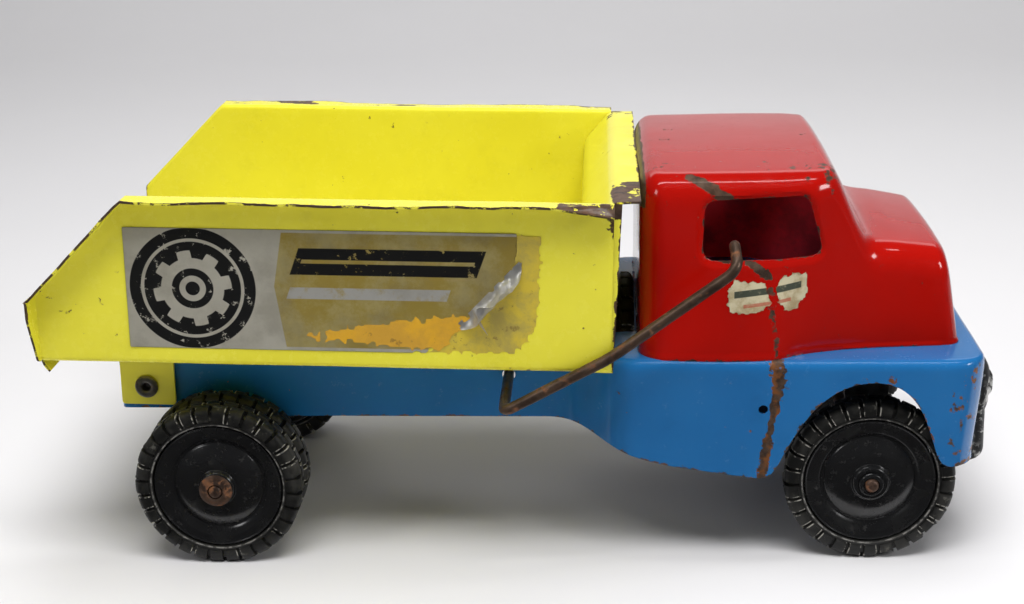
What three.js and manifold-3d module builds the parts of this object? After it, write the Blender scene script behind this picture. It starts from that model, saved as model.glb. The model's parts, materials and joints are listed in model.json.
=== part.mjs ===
// Pressed-tin toy tip truck: tipping tray, cab, one-piece chassis pressing, dual rear wheels,
// spare wheel and a bent-wire tipping lever.
// Millimetres, +X forward, +Y to the truck's left, +Z up, standing on Z = 0.
import * as THREE from 'three';
import { mergeVertices } from 'three/addons/utils/BufferGeometryUtils.js';
import Module from 'manifold-3d';

const wasm = await Module();
wasm.setup();

// ---------------------------------------------------------------- driving dimensions
// X is measured from the rear axle; the finished truck is moved so that its box is centred.
const WHEELBASE = 292;
const ORIGIN_X = 136.85;         // middle of the truck's length, ahead of the rear axle
const GAP = 0.3;               // clearance where two pieces meet

const WHEEL_RADIUS = 38;
const TYRE_WIDTH = 13.4;
const RIM_RADIUS = 29.5;
const HUB_DISC_RADIUS = 18.3;
const BOSS_RADIUS = 8;
const AXLE_RADIUS = 3.1;
const AXLE_PROUD = 5.5;        // axle end beyond the outer tyre's face
const REAR_OUTER_FACE = 82.2;  // outer face of the outer rear tyres
const REAR_INNER_FACE = 67.45; // outer face of the inner rear tyres
const FRONT_OUTER_FACE = 73.4;

const SHEET = 1;               // tray sheet
const PRESSING = 1.2;          // chassis and cab sheet

const TRAY_REST_ANGLE = -1.3;  // degrees, front edge low when the tray rests
const HINGE_X = -36.6;
const HINGE_Z = 75.3;
const TRAY_FRONT_X = 176;
const TRAY_REAR_X = -71.9;
const TRAY_RIM_REAR_X = -28.7;
const TRAY_REAR_RIM_Z = 132;
const TRAY_FLOOR_Z = 101.3;    // underside of the floor
const TRAY_RIM_Z = 177;
const TRAY_HALF = 91;          // outside of the side panels
const FLANGE = 10;
const REAR_FLANGE_FOOT = 3;
const FRONT_WALL_X = 163;
const FRONT_WALL_BEND_Z = 161;
const FRONT_FLANGE_X = 187;
const LIP_DROP = 6;
const LIP_LEAN = 3;

const CHASSIS_TAIL_X = -50;
const CHASSIS_FRONT_X = 336;
const CHASSIS_HALF = 50;
const WING_HALF = 78.5;
const CHASSIS_TOP_Z = 95;
const WING_TOP_Z = 97;
const FLARE_START_X = 146;
const FLARE_END_X = 190;
const NOSE_RADIUS = 17;        // plan radius of the wing corners
const CRANK_OPENING = { x0: 24, x1: 128, half: 28 };

const CAB_REAR_X = 189.2;
const CAB_FRONT_X = 326;
const CAB_BASE_Z = WING_TOP_Z + GAP;
const CAB_LEAN = 5;            // how far the foot of the bonnet's front stands ahead of its top

const LEVER_X = 130.5;
const LEVER_Z = 80;
const ROD_RADIUS = 2.4;
const LEVER_Y = -94;           // plane of the outer arm
const CRANK_LENGTH = 100;
const CRANK_REST_ANGLE = -6;   // degrees below level, pointing to the rear
const CRANK_HALF = 22;

const SPARE_X = 181.3;
const SPARE_Z = 73.4;

// ---------------------------------------------------------------- materials
function paint(colour, roughness, metalness) {
  return new THREE.MeshStandardMaterial({ color: colour, roughness, metalness });
}
const YELLOW = paint(0xdcd232, 0.35, 0.1);
const RED = paint(0xb41208, 0.22, 0.1);
const BLUE = paint(0x2a6fae, 0.25, 0.1);
const RUBBER = paint(0x232321, 0.8, 0);
const HUB_BLACK = paint(0x141416, 0.3, 0);
const BROWN_STEEL = paint(0x5e4a3c, 0.45, 0.8);
const DULL_STEEL = paint(0x807a72, 0.4, 0.9);
const CHROME = paint(0x4a4c4c, 0.35, 0.8);

// ---------------------------------------------------------------- solids
function solid(geometry) {
  let source = geometry.clone();
  source.deleteAttribute('normal');
  source.deleteAttribute('uv');
  if (source.index) {
    source = source.toNonIndexed();
  }
  const welded = mergeVertices(source, 1e-4);
  return new wasm.Manifold(new wasm.Mesh({
    numProp: 3,
    vertProperties: new Float32Array(welded.attributes.position.array),
    triVerts: new Uint32Array(welded.index.array),
  }));
}

function geometryOf(manifold) {
  const mesh = manifold.getMesh();
  const geometry = new THREE.BufferGeometry();
  geometry.setAttribute('position', new THREE.BufferAttribute(new Float32Array(mesh.vertProperties), 3));
  geometry.setIndex(new THREE.BufferAttribute(new Uint32Array(mesh.triVerts), 1));
  geometry.computeVertexNormals();
  return geometry;
}

function join(...manifolds) {
  return manifolds.reduce((sum, piece) => sum.add(piece));
}

function box(x0, x1, y0, y1, z0, z1) {
  const geometry = new THREE.BoxGeometry(x1 - x0, y1 - y0, z1 - z0);
  geometry.translate((x0 + x1) / 2, (y0 + y1) / 2, (z0 + z1) / 2);
  return solid(geometry);
}

// A plate whose outline is drawn in X and Z, standing between y0 and y1.
function plateAcross(shape, y0, y1, curveSegments = 8) {
  const geometry = new THREE.ExtrudeGeometry(shape, { depth: y1 - y0, bevelEnabled: false, curveSegments });
  geometry.rotateX(Math.PI / 2);
  geometry.translate(0, y1, 0);
  return solid(geometry);
}

// A plate whose outline is drawn in Y and Z, lying between x0 and x1.
function plateAlong(shape, x0, x1, curveSegments = 8) {
  const geometry = new THREE.ExtrudeGeometry(shape, { depth: x1 - x0, bevelEnabled: false, curveSegments });
  const turn = new THREE.Matrix4().makeBasis(
    new THREE.Vector3(0, 1, 0), new THREE.Vector3(0, 0, 1), new THREE.Vector3(1, 0, 0));
  geometry.applyMatrix4(turn);
  geometry.translate(x0, 0, 0);
  return solid(geometry);
}

function outline(points) {
  return new THREE.Shape(points.map(([a, b]) => new THREE.Vector2(a, b)));
}

function roundedOutline(a0, a1, b0, b1, radius) {
  const shape = new THREE.Shape();
  shape.moveTo(a0 + radius, b0);
  shape.lineTo(a1 - radius, b0);
  shape.absarc(a1 - radius, b0 + radius, radius, -Math.PI / 2, 0);
  shape.lineTo(a1, b1 - radius);
  shape.absarc(a1 - radius, b1 - radius, radius, 0, Math.PI / 2);
  shape.lineTo(a0 + radius, b1);
  shape.absarc(a0 + radius, b1 - radius, radius, Math.PI / 2, Math.PI);
  shape.lineTo(a0, b0 + radius);
  shape.absarc(a0 + radius, b0 + radius, radius, Math.PI, Math.PI * 1.5);
  return shape;
}

function barAcross(radius, x, z, y0, y1, segments = 14) {
  const geometry = new THREE.CylinderGeometry(radius, radius, y1 - y0, segments);
  geometry.translate(x, (y0 + y1) / 2, z);
  return solid(geometry);
}

// Turns a profile of [radius, distance] points about the Y axis at (x, z).
function turnedAcross(profile, x, z, side, segments) {
  const points = profile.map(([radius, distance]) => new THREE.Vector2(radius, distance));
  const geometry = new THREE.LatheGeometry(points, segments);
  let piece = solid(geometry);
  if (side < 0) {
    piece = piece.mirror([0, 1, 0]);
  }
  return piece.translate([x, 0, z]);
}

// ---------------------------------------------------------------- lofted pressings
// Half an arched section, from the centre of the top down to the foot of the side.
function halfSection(s, corner, top, side) {
  const points = [];
  const shoulder = new THREE.Vector2(s.halfTop, s.topZ);
  const foot = new THREE.Vector2(s.halfBase, s.baseZ);
  const crownAt = (y) => s.topZ + s.crown * (1 - (y / s.halfTop) ** 2);
  const flatEnd = s.halfTop - s.radius;
  for (let i = 0; i < top; i += 1) {
    const y = flatEnd * i / top;
    points.push([y, crownAt(y)]);
  }
  const down = foot.clone().sub(shoulder).normalize();
  const bend = new THREE.QuadraticBezierCurve(
    new THREE.Vector2(flatEnd, crownAt(flatEnd)),
    shoulder,
    shoulder.clone().addScaledVector(down, s.radius));
  bend.getPoints(corner).forEach((p) => points.push([p.x, p.y]));
  const start = points[points.length - 1];
  for (let i = 1; i <= side; i += 1) {
    const t = i / side;
    points.push([start[0] + (foot.x - start[0]) * t, start[1] + (foot.y - start[1]) * t]);
  }
  return points;
}

function ring(s, detail) {
  const half = halfSection(s, detail.corner, detail.top, detail.side);
  const left = half.slice(1).reverse();
  const right = half.map(([y, z]) => [-y, z]);
  const shear = s.lean ?? 0;
  return [...left, ...right].map(([y, z]) => {
    const drop = (s.topZ - z) / (s.topZ - s.baseZ);
    return [s.x + shear * drop, y, z];
  });
}

function loft(stations, detail) {
  const rings = stations.map((s) => ring(s, detail));
  const count = rings[0].length;
  const positions = rings.flat(2);
  const index = [];
  for (let i = 0; i + 1 < rings.length; i += 1) {
    for (let j = 0; j < count; j += 1) {
      const a = i * count + j;
      const b = i * count + (j + 1) % count;
      index.push(a, b, a + count, b, b + count, a + count);
    }
  }
  const last = (rings.length - 1) * count;
  const endOutline = rings[0].map(([, y, z]) => new THREE.Vector2(y, z));
  const face = THREE.ShapeUtils.triangulateShape(endOutline, []);
  face.forEach(([a, b, c]) => index.push(a, c, b));
  face.forEach(([a, b, c]) => index.push(last + a, last + b, last + c));
  const geometry = new THREE.BufferGeometry();
  geometry.setAttribute('position', new THREE.Float32BufferAttribute(positions, 3));
  geometry.setIndex(index);
  const piece = solid(geometry);
  if (piece.volume() > 0) {
    return piece;
  }
  for (let i = 0; i < index.length; i += 3) {
    [index[i], index[i + 2]] = [index[i + 2], index[i]];
  }
  geometry.setIndex(index);
  return solid(geometry);
}

// Smooth value through [x, value] keys.
function along(keys, x) {
  if (x <= keys[0][0]) {
    return keys[0][1];
  }
  for (let i = 0; i + 1 < keys.length; i += 1) {
    const [x0, v0] = keys[i];
    const [x1, v1] = keys[i + 1];
    if (x <= x1) {
      const t = (x - x0) / (x1 - x0);
      const before = keys[Math.max(i - 1, 0)];
      const after = keys[Math.min(i + 2, keys.length - 1)];
      const slope0 = (v1 - before[1]) / (x1 - before[0]) * (x1 - x0);
      const slope1 = (after[1] - v0) / (after[0] - x0) * (x1 - x0);
      return (2 * t ** 3 - 3 * t ** 2 + 1) * v0 + (t ** 3 - 2 * t ** 2 + t) * slope0
        + (-2 * t ** 3 + 3 * t ** 2) * v1 + (t ** 3 - t ** 2) * slope1;
    }
  }
  return keys[keys.length - 1][1];
}

// How far a rounded end pulls in, at a distance from the end.
function endRound(radius, distance) {
  const inside = radius - Math.min(Math.max(distance, 0), radius);
  return radius - Math.sqrt(radius ** 2 - inside ** 2);
}

// ---------------------------------------------------------------- chassis pressing
const flare = (x) => THREE.MathUtils.smootherstep(x, FLARE_START_X, FLARE_END_X);

function chassisStation(x, inset) {
  const half = CHASSIS_HALF + (WING_HALF - CHASSIS_HALF) * flare(x);
  const top = CHASSIS_TOP_Z + (WING_TOP_Z - CHASSIS_TOP_Z) * flare(x);
  const nose = endRound(NOSE_RADIUS, CHASSIS_FRONT_X - x);
  const noseDrop = endRound(4, CHASSIS_FRONT_X - x);
  return {
    x,
    topZ: top - noseDrop - inset,
    baseZ: inset > 0 ? 10 : 30,
    halfTop: half - nose - inset,
    halfBase: half - nose - inset,
    radius: 3 - inset,
    crown: 0,
  };
}

// The lower edge of the pressing, seen from the side, with the wheel arch.
function chassisLowerEdge() {
  const shape = new THREE.Shape();
  shape.moveTo(-70, 0);
  shape.lineTo(-70, 63.5);
  shape.lineTo(-24, 63.5);
  shape.lineTo(-10, 59.5);
  shape.lineTo(158, 59.5);
  shape.bezierCurveTo(176, 59.5, 184, 50, 211, 46.5);
  shape.lineTo(239, 42.2);
  shape.bezierCurveTo(246, 41.6, 248, 43.5, 251, 50);
  shape.bezierCurveTo(259, 68, 270, 87.3, 291, 87.3);
  shape.bezierCurveTo(309, 87.3, 314, 70, 317.5, 58);
  shape.bezierCurveTo(319.5, 50, 321, 47.6, 326, 47.4);
  shape.lineTo(350, 47.4);
  shape.lineTo(350, 0);
  return shape;
}

function makeChassisPressing() {
  const detail = { corner: 3, top: 1, side: 1 };
  const xs = [CHASSIS_TAIL_X, FLARE_START_X];
  for (let x = 153; x < FLARE_END_X; x += 6) {
    xs.push(x);
  }
  xs.push(FLARE_END_X, 318);
  [14, 11, 8, 5.5, 3.5, 2, 1, 0.3, 0].forEach((back) => xs.push(CHASSIS_FRONT_X - back));
  const outer = loft(xs.map((x) => chassisStation(x, 0)), detail);
  const innerStations = xs.map((x) => chassisStation(x, PRESSING));
  innerStations.forEach((s) => {
    s.x = THREE.MathUtils.clamp(s.x, CHASSIS_TAIL_X + PRESSING, CHASSIS_FRONT_X);
  });
  const middle = (CHASSIS_TAIL_X + CHASSIS_FRONT_X) / 2;
  innerStations.forEach((s) => {
    s.x = s.x > middle ? s.x - PRESSING * flare(s.x) : s.x;
  });
  const inner = loft(innerStations, detail);
  let body = outer.subtract(inner);
  body = body.subtract(plateAcross(chassisLowerEdge(), -120, 120, 10));
  const opening = CRANK_OPENING;
  body = body.subtract(box(opening.x0, opening.x1, -opening.half, opening.half, 85, 105));
  body = body.subtract(box(SPARE_X - 8.2, SPARE_X + 7.9, -39.5, 39.5, 80, 105));
  body = body.subtract(barAcross(3.4, HINGE_X, HINGE_Z, -60, 60));
  body = body.subtract(barAcross(ROD_RADIUS + 0.6, LEVER_X, LEVER_Z, -60, 60));
  body = body.subtract(barAcross(2.1, 243.1, 74.9, -90, -60));
  body = body.subtract(barAcross(2.1, 243.1, 74.9, 60, 90));
  for (const [x, y] of cabTabPlaces()) {
    const long = x < CAB_REAR_X + 5;
    const halfX = long ? 1.2 : 5.8;
    const halfY = long ? 5.8 : 1.2;
    body = body.subtract(box(x - halfX, x + halfX, y - halfY, y + halfY, 90, 105));
  }
  return body;
}

// ---------------------------------------------------------------- cab
const CAB_HALF_BASE = [
  [CAB_REAR_X, 75.5], [246, 75.5], [261, 68], [275, 63.5], [290, 60.5], [CAB_FRONT_X, 56.5],
];
const CAB_HALF_TOP = [
  [CAB_REAR_X, 67.5], [262, 67.5], [274, 62], [290, 56.5], [305, 54.5], [CAB_FRONT_X, 50.5],
];
const CAB_TOP = [
  [CAB_REAR_X, 176.2], [268, 176.6], [272, 176], [276, 170.5], [285, 151.5], [289, 145], [294, 142.2],
  [305, 140.8], [CAB_FRONT_X, 137.6],
];

function cabStation(x, inset) {
  const rearRound = endRound(12, x - CAB_REAR_X);
  const rearDrop = endRound(8, x - CAB_REAR_X);
  const frontRound = endRound(6, CAB_FRONT_X - x);
  const frontDrop = endRound(6, CAB_FRONT_X - x);
  const pull = rearRound + frontRound + inset;
  const screen = Math.exp(-(((x - 280) / 9) ** 2));
  return {
    x,
    topZ: along(CAB_TOP, x) - rearDrop - frontDrop - inset * (1 + screen),
    baseZ: inset > 0 ? CAB_BASE_Z - 5 : CAB_BASE_Z,
    halfTop: along(CAB_HALF_TOP, x) - pull,
    halfBase: along(CAB_HALF_BASE, x) - pull,
    radius: 9 - inset,
    crown: 2.2,
    lean: CAB_LEAN * THREE.MathUtils.smoothstep(x, 296, CAB_FRONT_X),
  };
}

function cabTabPlaces() {
  return [[CAB_REAR_X + 0.6, 45], [CAB_REAR_X + 0.6, -45], [226, 74.9], [226, -74.9]];
}

function sideWindow() {
  const shape = new THREE.Shape();
  shape.moveTo(222, 140.2);
  shape.lineTo(261.5, 140.8);
  shape.quadraticCurveTo(268.5, 141, 267.2, 146.5);
  shape.lineTo(262.3, 163.5);
  shape.quadraticCurveTo(260.8, 168.4, 256, 168.2);
  shape.lineTo(222, 166.6);
  shape.quadraticCurveTo(217.4, 166.2, 216.9, 161.5);
  shape.lineTo(216.2, 147);
  shape.quadraticCurveTo(216.2, 140.2, 222, 140.2);
  return shape;
}

function makeCab() {
  const detail = { corner: 3, top: 2, side: 1 };
  const xs = [0, 0.4, 1.5, 3, 5, 8, 12].map((d) => CAB_REAR_X + d);
  xs.push(246, 251, 256, 261, 266, 269.5, 272, 274, 276, 280.5, 285, 287, 289, 291.5, 294, 300, 310);
  [6, 4, 2.4, 1.2, 0.3, 0].forEach((back) => xs.push(CAB_FRONT_X - back));
  const outer = loft(xs.map((x) => cabStation(x, 0)), detail);
  const innerStations = xs.map((x) => cabStation(x, PRESSING));
  innerStations.forEach((s) => {
    if (s.x < CAB_REAR_X + 12) {
      s.x += PRESSING;
    }
    if (s.x > 300) {
      s.x -= PRESSING;
    }
  });
  const inner = loft(innerStations, detail);
  let body = outer.subtract(inner);
  body = body.subtract(plateAcross(sideWindow(), -100, 100, 4));
  body = body.subtract(plateAlong(roundedOutline(-49, 49, 151.5, 169.5, 5), 268, 300, 3));
  for (const [x, y] of cabTabPlaces()) {
    const long = x < CAB_REAR_X + 5;
    const halfX = long ? 0.5 : 5;
    const halfY = long ? 5 : 0.5;
    body = body.add(box(x - halfX, x + halfX, y - halfY, y + halfY, WING_TOP_Z - 5, CAB_BASE_Z + 4));
  }
  return body;
}

// ---------------------------------------------------------------- grille and bumper
function makeGrillePlate() {
  const x = CHASSIS_FRONT_X + GAP;
  const shape = new THREE.Shape();
  shape.moveTo(x, 91.5);
  shape.lineTo(x, 42);
  shape.lineTo(x + 4, 42);
  shape.quadraticCurveTo(x + 7.6, 43, x + 7.6, 47);
  shape.lineTo(x + 7.2, 59);
  shape.quadraticCurveTo(x + 7, 62.5, x + 5.6, 65);
  shape.quadraticCurveTo(x + 9, 72, x + 8.7, 79);
  shape.quadraticCurveTo(x + 8, 88, x + 3, 91.5);
  return plateAcross(shape, -58, 58, 5);
}

// ---------------------------------------------------------------- brackets and axles
// A folded U of sheet that fits up inside the pressing and hangs the axle below it.
function makeAxleBracket(x, half, topZ) {
  const width = 11;
  const fold = 3;
  const inner = half - PRESSING;
  const under = topZ - PRESSING;
  const section = outline([
    [-half, 20], [-half, topZ - fold], [-half + fold, topZ],
    [half - fold, topZ], [half, topZ - fold], [half, 20],
    [inner, 20], [inner, topZ - fold - 0.5], [half - fold - 0.5, under],
    [-half + fold + 0.5, under], [-inner, topZ - fold - 0.5], [-inner, 20],
  ]);
  const leg = new THREE.Shape();
  leg.moveTo(x - width, topZ + 1);
  leg.lineTo(x - 8, WHEEL_RADIUS);
  leg.absarc(x, WHEEL_RADIUS, 8, Math.PI, Math.PI * 2);
  leg.lineTo(x + width, topZ + 1);
  return plateAlong(section, x - width, x + width)
    .intersect(plateAcross(leg, -100, 100))
    .subtract(barAcross(AXLE_RADIUS + GAP, x, WHEEL_RADIUS, -100, 100));
}

function makeTube(x, z, outerRadius, innerRadius, y0, y1) {
  return barAcross(outerRadius, x, z, y0, y1).subtract(barAcross(innerRadius, x, z, y0 - 1, y1 + 1));
}

// ---------------------------------------------------------------- wheels
function tyreProfile(outerFace) {
  const inner = outerFace - TYRE_WIDTH;
  return [
    [RIM_RADIUS, inner + 1.4],
    [RIM_RADIUS + 2.5, inner],
    [WHEEL_RADIUS - 1.6, inner + 0.6],
    [WHEEL_RADIUS, inner + 2.6],
    [WHEEL_RADIUS, outerFace - 2.6],
    [WHEEL_RADIUS - 1.6, outerFace - 0.6],
    [RIM_RADIUS + 2.5, outerFace],
    [RIM_RADIUS, outerFace - 1.4],
    [RIM_RADIUS, inner + 1.4],
  ];
}

function wheelDiscProfile(outerFace, bossInner, bossOuter) {
  const rim = RIM_RADIUS - GAP;
  const bore = AXLE_RADIUS + 0.35;
  const inner = outerFace - TYRE_WIDTH;
  return [
    [bore, bossInner],
    [BOSS_RADIUS, bossInner],
    [BOSS_RADIUS, inner + 7],
    [rim - 2, inner + 6],
    [rim - 1.2, inner + 2],
    [rim, inner + 2],
    [rim, outerFace - 2],
    [rim - 2, outerFace - 3.6],
    [HUB_DISC_RADIUS + 0.8, outerFace - 3.4],
    [HUB_DISC_RADIUS - 0.6, outerFace],
    [BOSS_RADIUS + 1, outerFace - 0.6],
    [BOSS_RADIUS, bossOuter],
    [bore, bossOuter],
    [bore, bossInner],
  ];
}

const WHEELS = [
  { name: 'rear_outer', x: 0, face: REAR_OUTER_FACE, bossInner: 68.2, bossOuter: 84.2 },
  { name: 'rear_inner', x: 0, face: REAR_INNER_FACE, bossInner: 53, bossOuter: 67.8 },
  { name: 'front', x: WHEELBASE, face: FRONT_OUTER_FACE, bossInner: 59, bossOuter: 75.2 },
];

const AXLE_ENDS = [
  {
    name: 'rear', x: 0, face: REAR_OUTER_FACE, spacerIn: 48.8, spacerOut: 52.6,
    nut: 84.6, nutRadius: 7.6, nutMaterial: BROWN_STEEL,
  },
  {
    name: 'front', x: WHEELBASE, face: FRONT_OUTER_FACE, spacerIn: 51.6, spacerOut: 58.6,
    nut: 75.6, nutRadius: 5.6, nutMaterial: HUB_BLACK,
  },
];

// ---------------------------------------------------------------- tray
function sidePanelOutline() {
  return outline([
    [TRAY_REAR_X, TRAY_FLOOR_Z],
    [TRAY_FRONT_X, TRAY_FLOOR_Z],
    [TRAY_FRONT_X, TRAY_RIM_Z],
    [TRAY_RIM_REAR_X, TRAY_RIM_Z],
    [TRAY_REAR_X, TRAY_REAR_RIM_Z],
  ]);
}

// The outward flange along the sloping edge, one sheet thick and FLANGE wide.
function slopeFlange() {
  const dx = TRAY_RIM_REAR_X - TRAY_REAR_X;
  const dz = TRAY_RIM_Z - TRAY_REAR_RIM_Z;
  const length = Math.hypot(dx, dz);
  const nx = dz / length * SHEET;
  const nz = dx / length * SHEET;
  return outline([
    [TRAY_REAR_X, TRAY_REAR_RIM_Z],
    [TRAY_REAR_X + nx, TRAY_REAR_RIM_Z - nz],
    [TRAY_RIM_REAR_X + nx * 1.2, TRAY_RIM_Z - nz * 1.2],
    [TRAY_RIM_REAR_X, TRAY_RIM_Z],
  ]);
}

function makeTrayPan() {
  const top = TRAY_RIM_Z;
  const floorEnd = FRONT_WALL_X - SHEET - GAP;
  let pan = box(TRAY_REAR_X, floorEnd, -TRAY_HALF, TRAY_HALF, TRAY_FLOOR_Z, TRAY_FLOOR_Z + SHEET);
  for (const side of [-1, 1]) {
    const inner = side * (TRAY_HALF - SHEET);
    const outer = side * TRAY_HALF;
    const edge = side * (TRAY_HALF + FLANGE);
    const low = Math.min(inner, outer);
    pan = pan.add(plateAcross(sidePanelOutline(), low, low + SHEET));
    const reach0 = Math.min(inner, edge);
    const reach1 = Math.max(inner, edge);
    pan = pan.add(box(TRAY_RIM_REAR_X, TRAY_FRONT_X, reach0, reach1, top - SHEET, top));
    pan = pan.add(plateAcross(slopeFlange(), reach0, reach1));
    const rear = outline([
      [inner, TRAY_FLOOR_Z],
      [side * (TRAY_HALF + REAR_FLANGE_FOOT), TRAY_FLOOR_Z + 2],
      [edge, TRAY_REAR_RIM_Z - 8],
      [edge, TRAY_REAR_RIM_Z],
      [inner, TRAY_REAR_RIM_Z],
    ]);
    pan = pan.add(plateAlong(rear, TRAY_REAR_X, TRAY_REAR_X + SHEET));
  }
  const lip = outline([
    [TRAY_REAR_X, TRAY_FLOOR_Z + SHEET],
    [TRAY_REAR_X + LIP_LEAN, TRAY_FLOOR_Z - LIP_DROP],
    [TRAY_REAR_X + LIP_LEAN + SHEET, TRAY_FLOOR_Z - LIP_DROP],
    [TRAY_REAR_X + SHEET, TRAY_FLOOR_Z + SHEET],
  ]);
  return pan.add(plateAcross(lip, -TRAY_HALF, TRAY_HALF));
}

function makeTrayFrontWall() {
  const half = TRAY_HALF - SHEET - GAP;
  const foot = TRAY_FLOOR_Z;
  const rim = TRAY_RIM_Z;
  const sheet = outline([
    [FRONT_WALL_X - SHEET, foot],
    [FRONT_WALL_X, foot],
    [FRONT_WALL_X, FRONT_WALL_BEND_Z - 0.5],
    [TRAY_FRONT_X, rim - SHEET],
    [FRONT_FLANGE_X, rim - SHEET],
    [FRONT_FLANGE_X, rim],
    [TRAY_FRONT_X - 0.5, rim],
    [FRONT_WALL_X - SHEET, FRONT_WALL_BEND_Z],
  ]);
  const cheek = outline([
    [FRONT_WALL_X - SHEET, foot],
    [TRAY_FRONT_X + 1, foot],
    [TRAY_FRONT_X + 3.3, rim - SHEET],
    [TRAY_FRONT_X - 0.5, rim - SHEET],
    [FRONT_WALL_X - SHEET, FRONT_WALL_BEND_Z],
  ]);
  return join(
    plateAcross(sheet, -half, half),
    plateAcross(cheek, -half, -half + SHEET),
    plateAcross(cheek, half - SHEET, half));
}

const BRACKET_IN = 51.4;
function makeHingeBracket(side) {
  const top = TRAY_FLOOR_Z - GAP;
  const bottom = HINGE_Z - 9;
  const plate = roundedOutline(HINGE_X - 12, HINGE_X + 13, bottom, top, 1.5);
  const y0 = Math.min(side * BRACKET_IN, side * (BRACKET_IN + PRESSING));
  const foot0 = Math.min(side * BRACKET_IN, side * (BRACKET_IN + 11));
  const body = join(
    plateAcross(plate, y0, y0 + PRESSING, 3),
    box(HINGE_X - 10, HINGE_X + 11, foot0, foot0 + 11, top - PRESSING, top));
  return body.subtract(barAcross(3.4, HINGE_X, HINGE_Z, -60, 60));
}

// ---------------------------------------------------------------- lever
function roundedPath(points, bendRadius) {
  const path = new THREE.CurvePath();
  let from = points[0];
  for (let i = 1; i + 1 < points.length; i += 1) {
    const here = points[i];
    const back = points[i - 1].clone().sub(here).normalize().multiplyScalar(bendRadius).add(here);
    const ahead = points[i + 1].clone().sub(here).normalize().multiplyScalar(bendRadius).add(here);
    path.add(new THREE.LineCurve3(from, back));
    path.add(new THREE.QuadraticBezierCurve3(back, here, ahead));
    from = ahead;
  }
  path.add(new THREE.LineCurve3(from, points[points.length - 1]));
  return path;
}

function makeLeverRod() {
  const angle = THREE.MathUtils.degToRad(CRANK_REST_ANGLE);
  const tipX = LEVER_X - CRANK_LENGTH * Math.cos(angle);
  const tipZ = LEVER_Z + CRANK_LENGTH * Math.sin(angle);
  const route = [
    [LEVER_X, 57, LEVER_Z],
    [LEVER_X, CRANK_HALF, LEVER_Z],
    [tipX, CRANK_HALF, tipZ],
    [tipX, -CRANK_HALF, tipZ],
    [LEVER_X, -CRANK_HALF, LEVER_Z],
    [LEVER_X, LEVER_Y, LEVER_Z],
    [LEVER_X + 46, LEVER_Y, 105],
    [LEVER_X + 99, LEVER_Y, 144.2],
    [LEVER_X + 97.9, LEVER_Y + 12.6, 152.4],
  ].map(([x, y, z]) => new THREE.Vector3(x, y, z));
  const path = roundedPath(route, 6);
  const round = new THREE.Shape().absarc(0, 0, ROD_RADIUS, 0, Math.PI * 2);
  return solid(new THREE.ExtrudeGeometry(round, {
    extrudePath: path,
    steps: 100,
    curveSegments: 4,
    bevelEnabled: false,
  }));
}

// ---------------------------------------------------------------- spare wheel
function turnedAlong(profile, segments) {
  const points = profile.map(([radius, distance]) => new THREE.Vector2(radius, distance));
  const geometry = new THREE.LatheGeometry(points, segments);
  geometry.rotateZ(-Math.PI / 2);
  geometry.translate(SPARE_X, 0, SPARE_Z);
  return solid(geometry);
}

function makeSpareCarrier() {
  const x = SPARE_X + 8.5;
  const top = WING_TOP_Z - PRESSING - GAP;
  const plate = roundedOutline(-14, 14, 58, top, 3);
  const foot = box(x, x + 15, -14, 14, top - PRESSING, top);
  const hole = new THREE.CylinderGeometry(2.3, 2.3, 20, 12);
  hole.rotateZ(Math.PI / 2);
  hole.translate(x, 0, SPARE_Z);
  return plateAlong(plate, x, x + PRESSING, 3).add(foot).subtract(solid(hole));
}

function makeSpareBolt() {
  const head = SPARE_X - 8.6;
  const end = SPARE_X + 12.5;
  return turnedAlong([
    [0, head - 2 - SPARE_X],
    [4, head - 1.4 - SPARE_X],
    [4.6, head - SPARE_X],
    [2, head - SPARE_X],
    [2, end - SPARE_X],
    [0, end - SPARE_X],
  ], 12);
}

// ---------------------------------------------------------------- assembly
const truck = new THREE.Group();
truck.position.set(-ORIGIN_X, 0, 0);

const tray = new THREE.Group();
const hingeAt = new THREE.Matrix4().makeTranslation(HINGE_X, 0, HINGE_Z);
const restTurn = new THREE.Matrix4().makeRotationY(THREE.MathUtils.degToRad(-TRAY_REST_ANGLE));
const hingeBack = new THREE.Matrix4().makeTranslation(-HINGE_X, 0, -HINGE_Z);
hingeAt.multiply(restTurn).multiply(hingeBack).decompose(tray.position, tray.quaternion, tray.scale);
truck.add(tray);

function add(group, name, manifold, material) {
  const mesh = new THREE.Mesh(geometryOf(manifold), material);
  mesh.name = name;
  group.add(mesh);
}

add(truck, 'chassis_pressing', makeChassisPressing(), BLUE);
add(truck, 'cab_shell', makeCab(), RED);
add(truck, 'grille_bumper', makeGrillePlate(), CHROME);
add(truck, 'rear_axle_bracket', makeAxleBracket(0, 48.4, CHASSIS_TOP_Z - PRESSING - GAP), DULL_STEEL);
add(
  truck, 'front_axle_bracket',
  makeAxleBracket(WHEELBASE, 51.2, WING_TOP_Z - PRESSING - GAP), DULL_STEEL);

for (const end of AXLE_ENDS) {
  const reach = end.face + AXLE_PROUD;
  add(truck, `${end.name}_axle`, barAcross(AXLE_RADIUS, end.x, WHEEL_RADIUS, -reach, reach), BROWN_STEEL);
}

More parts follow.
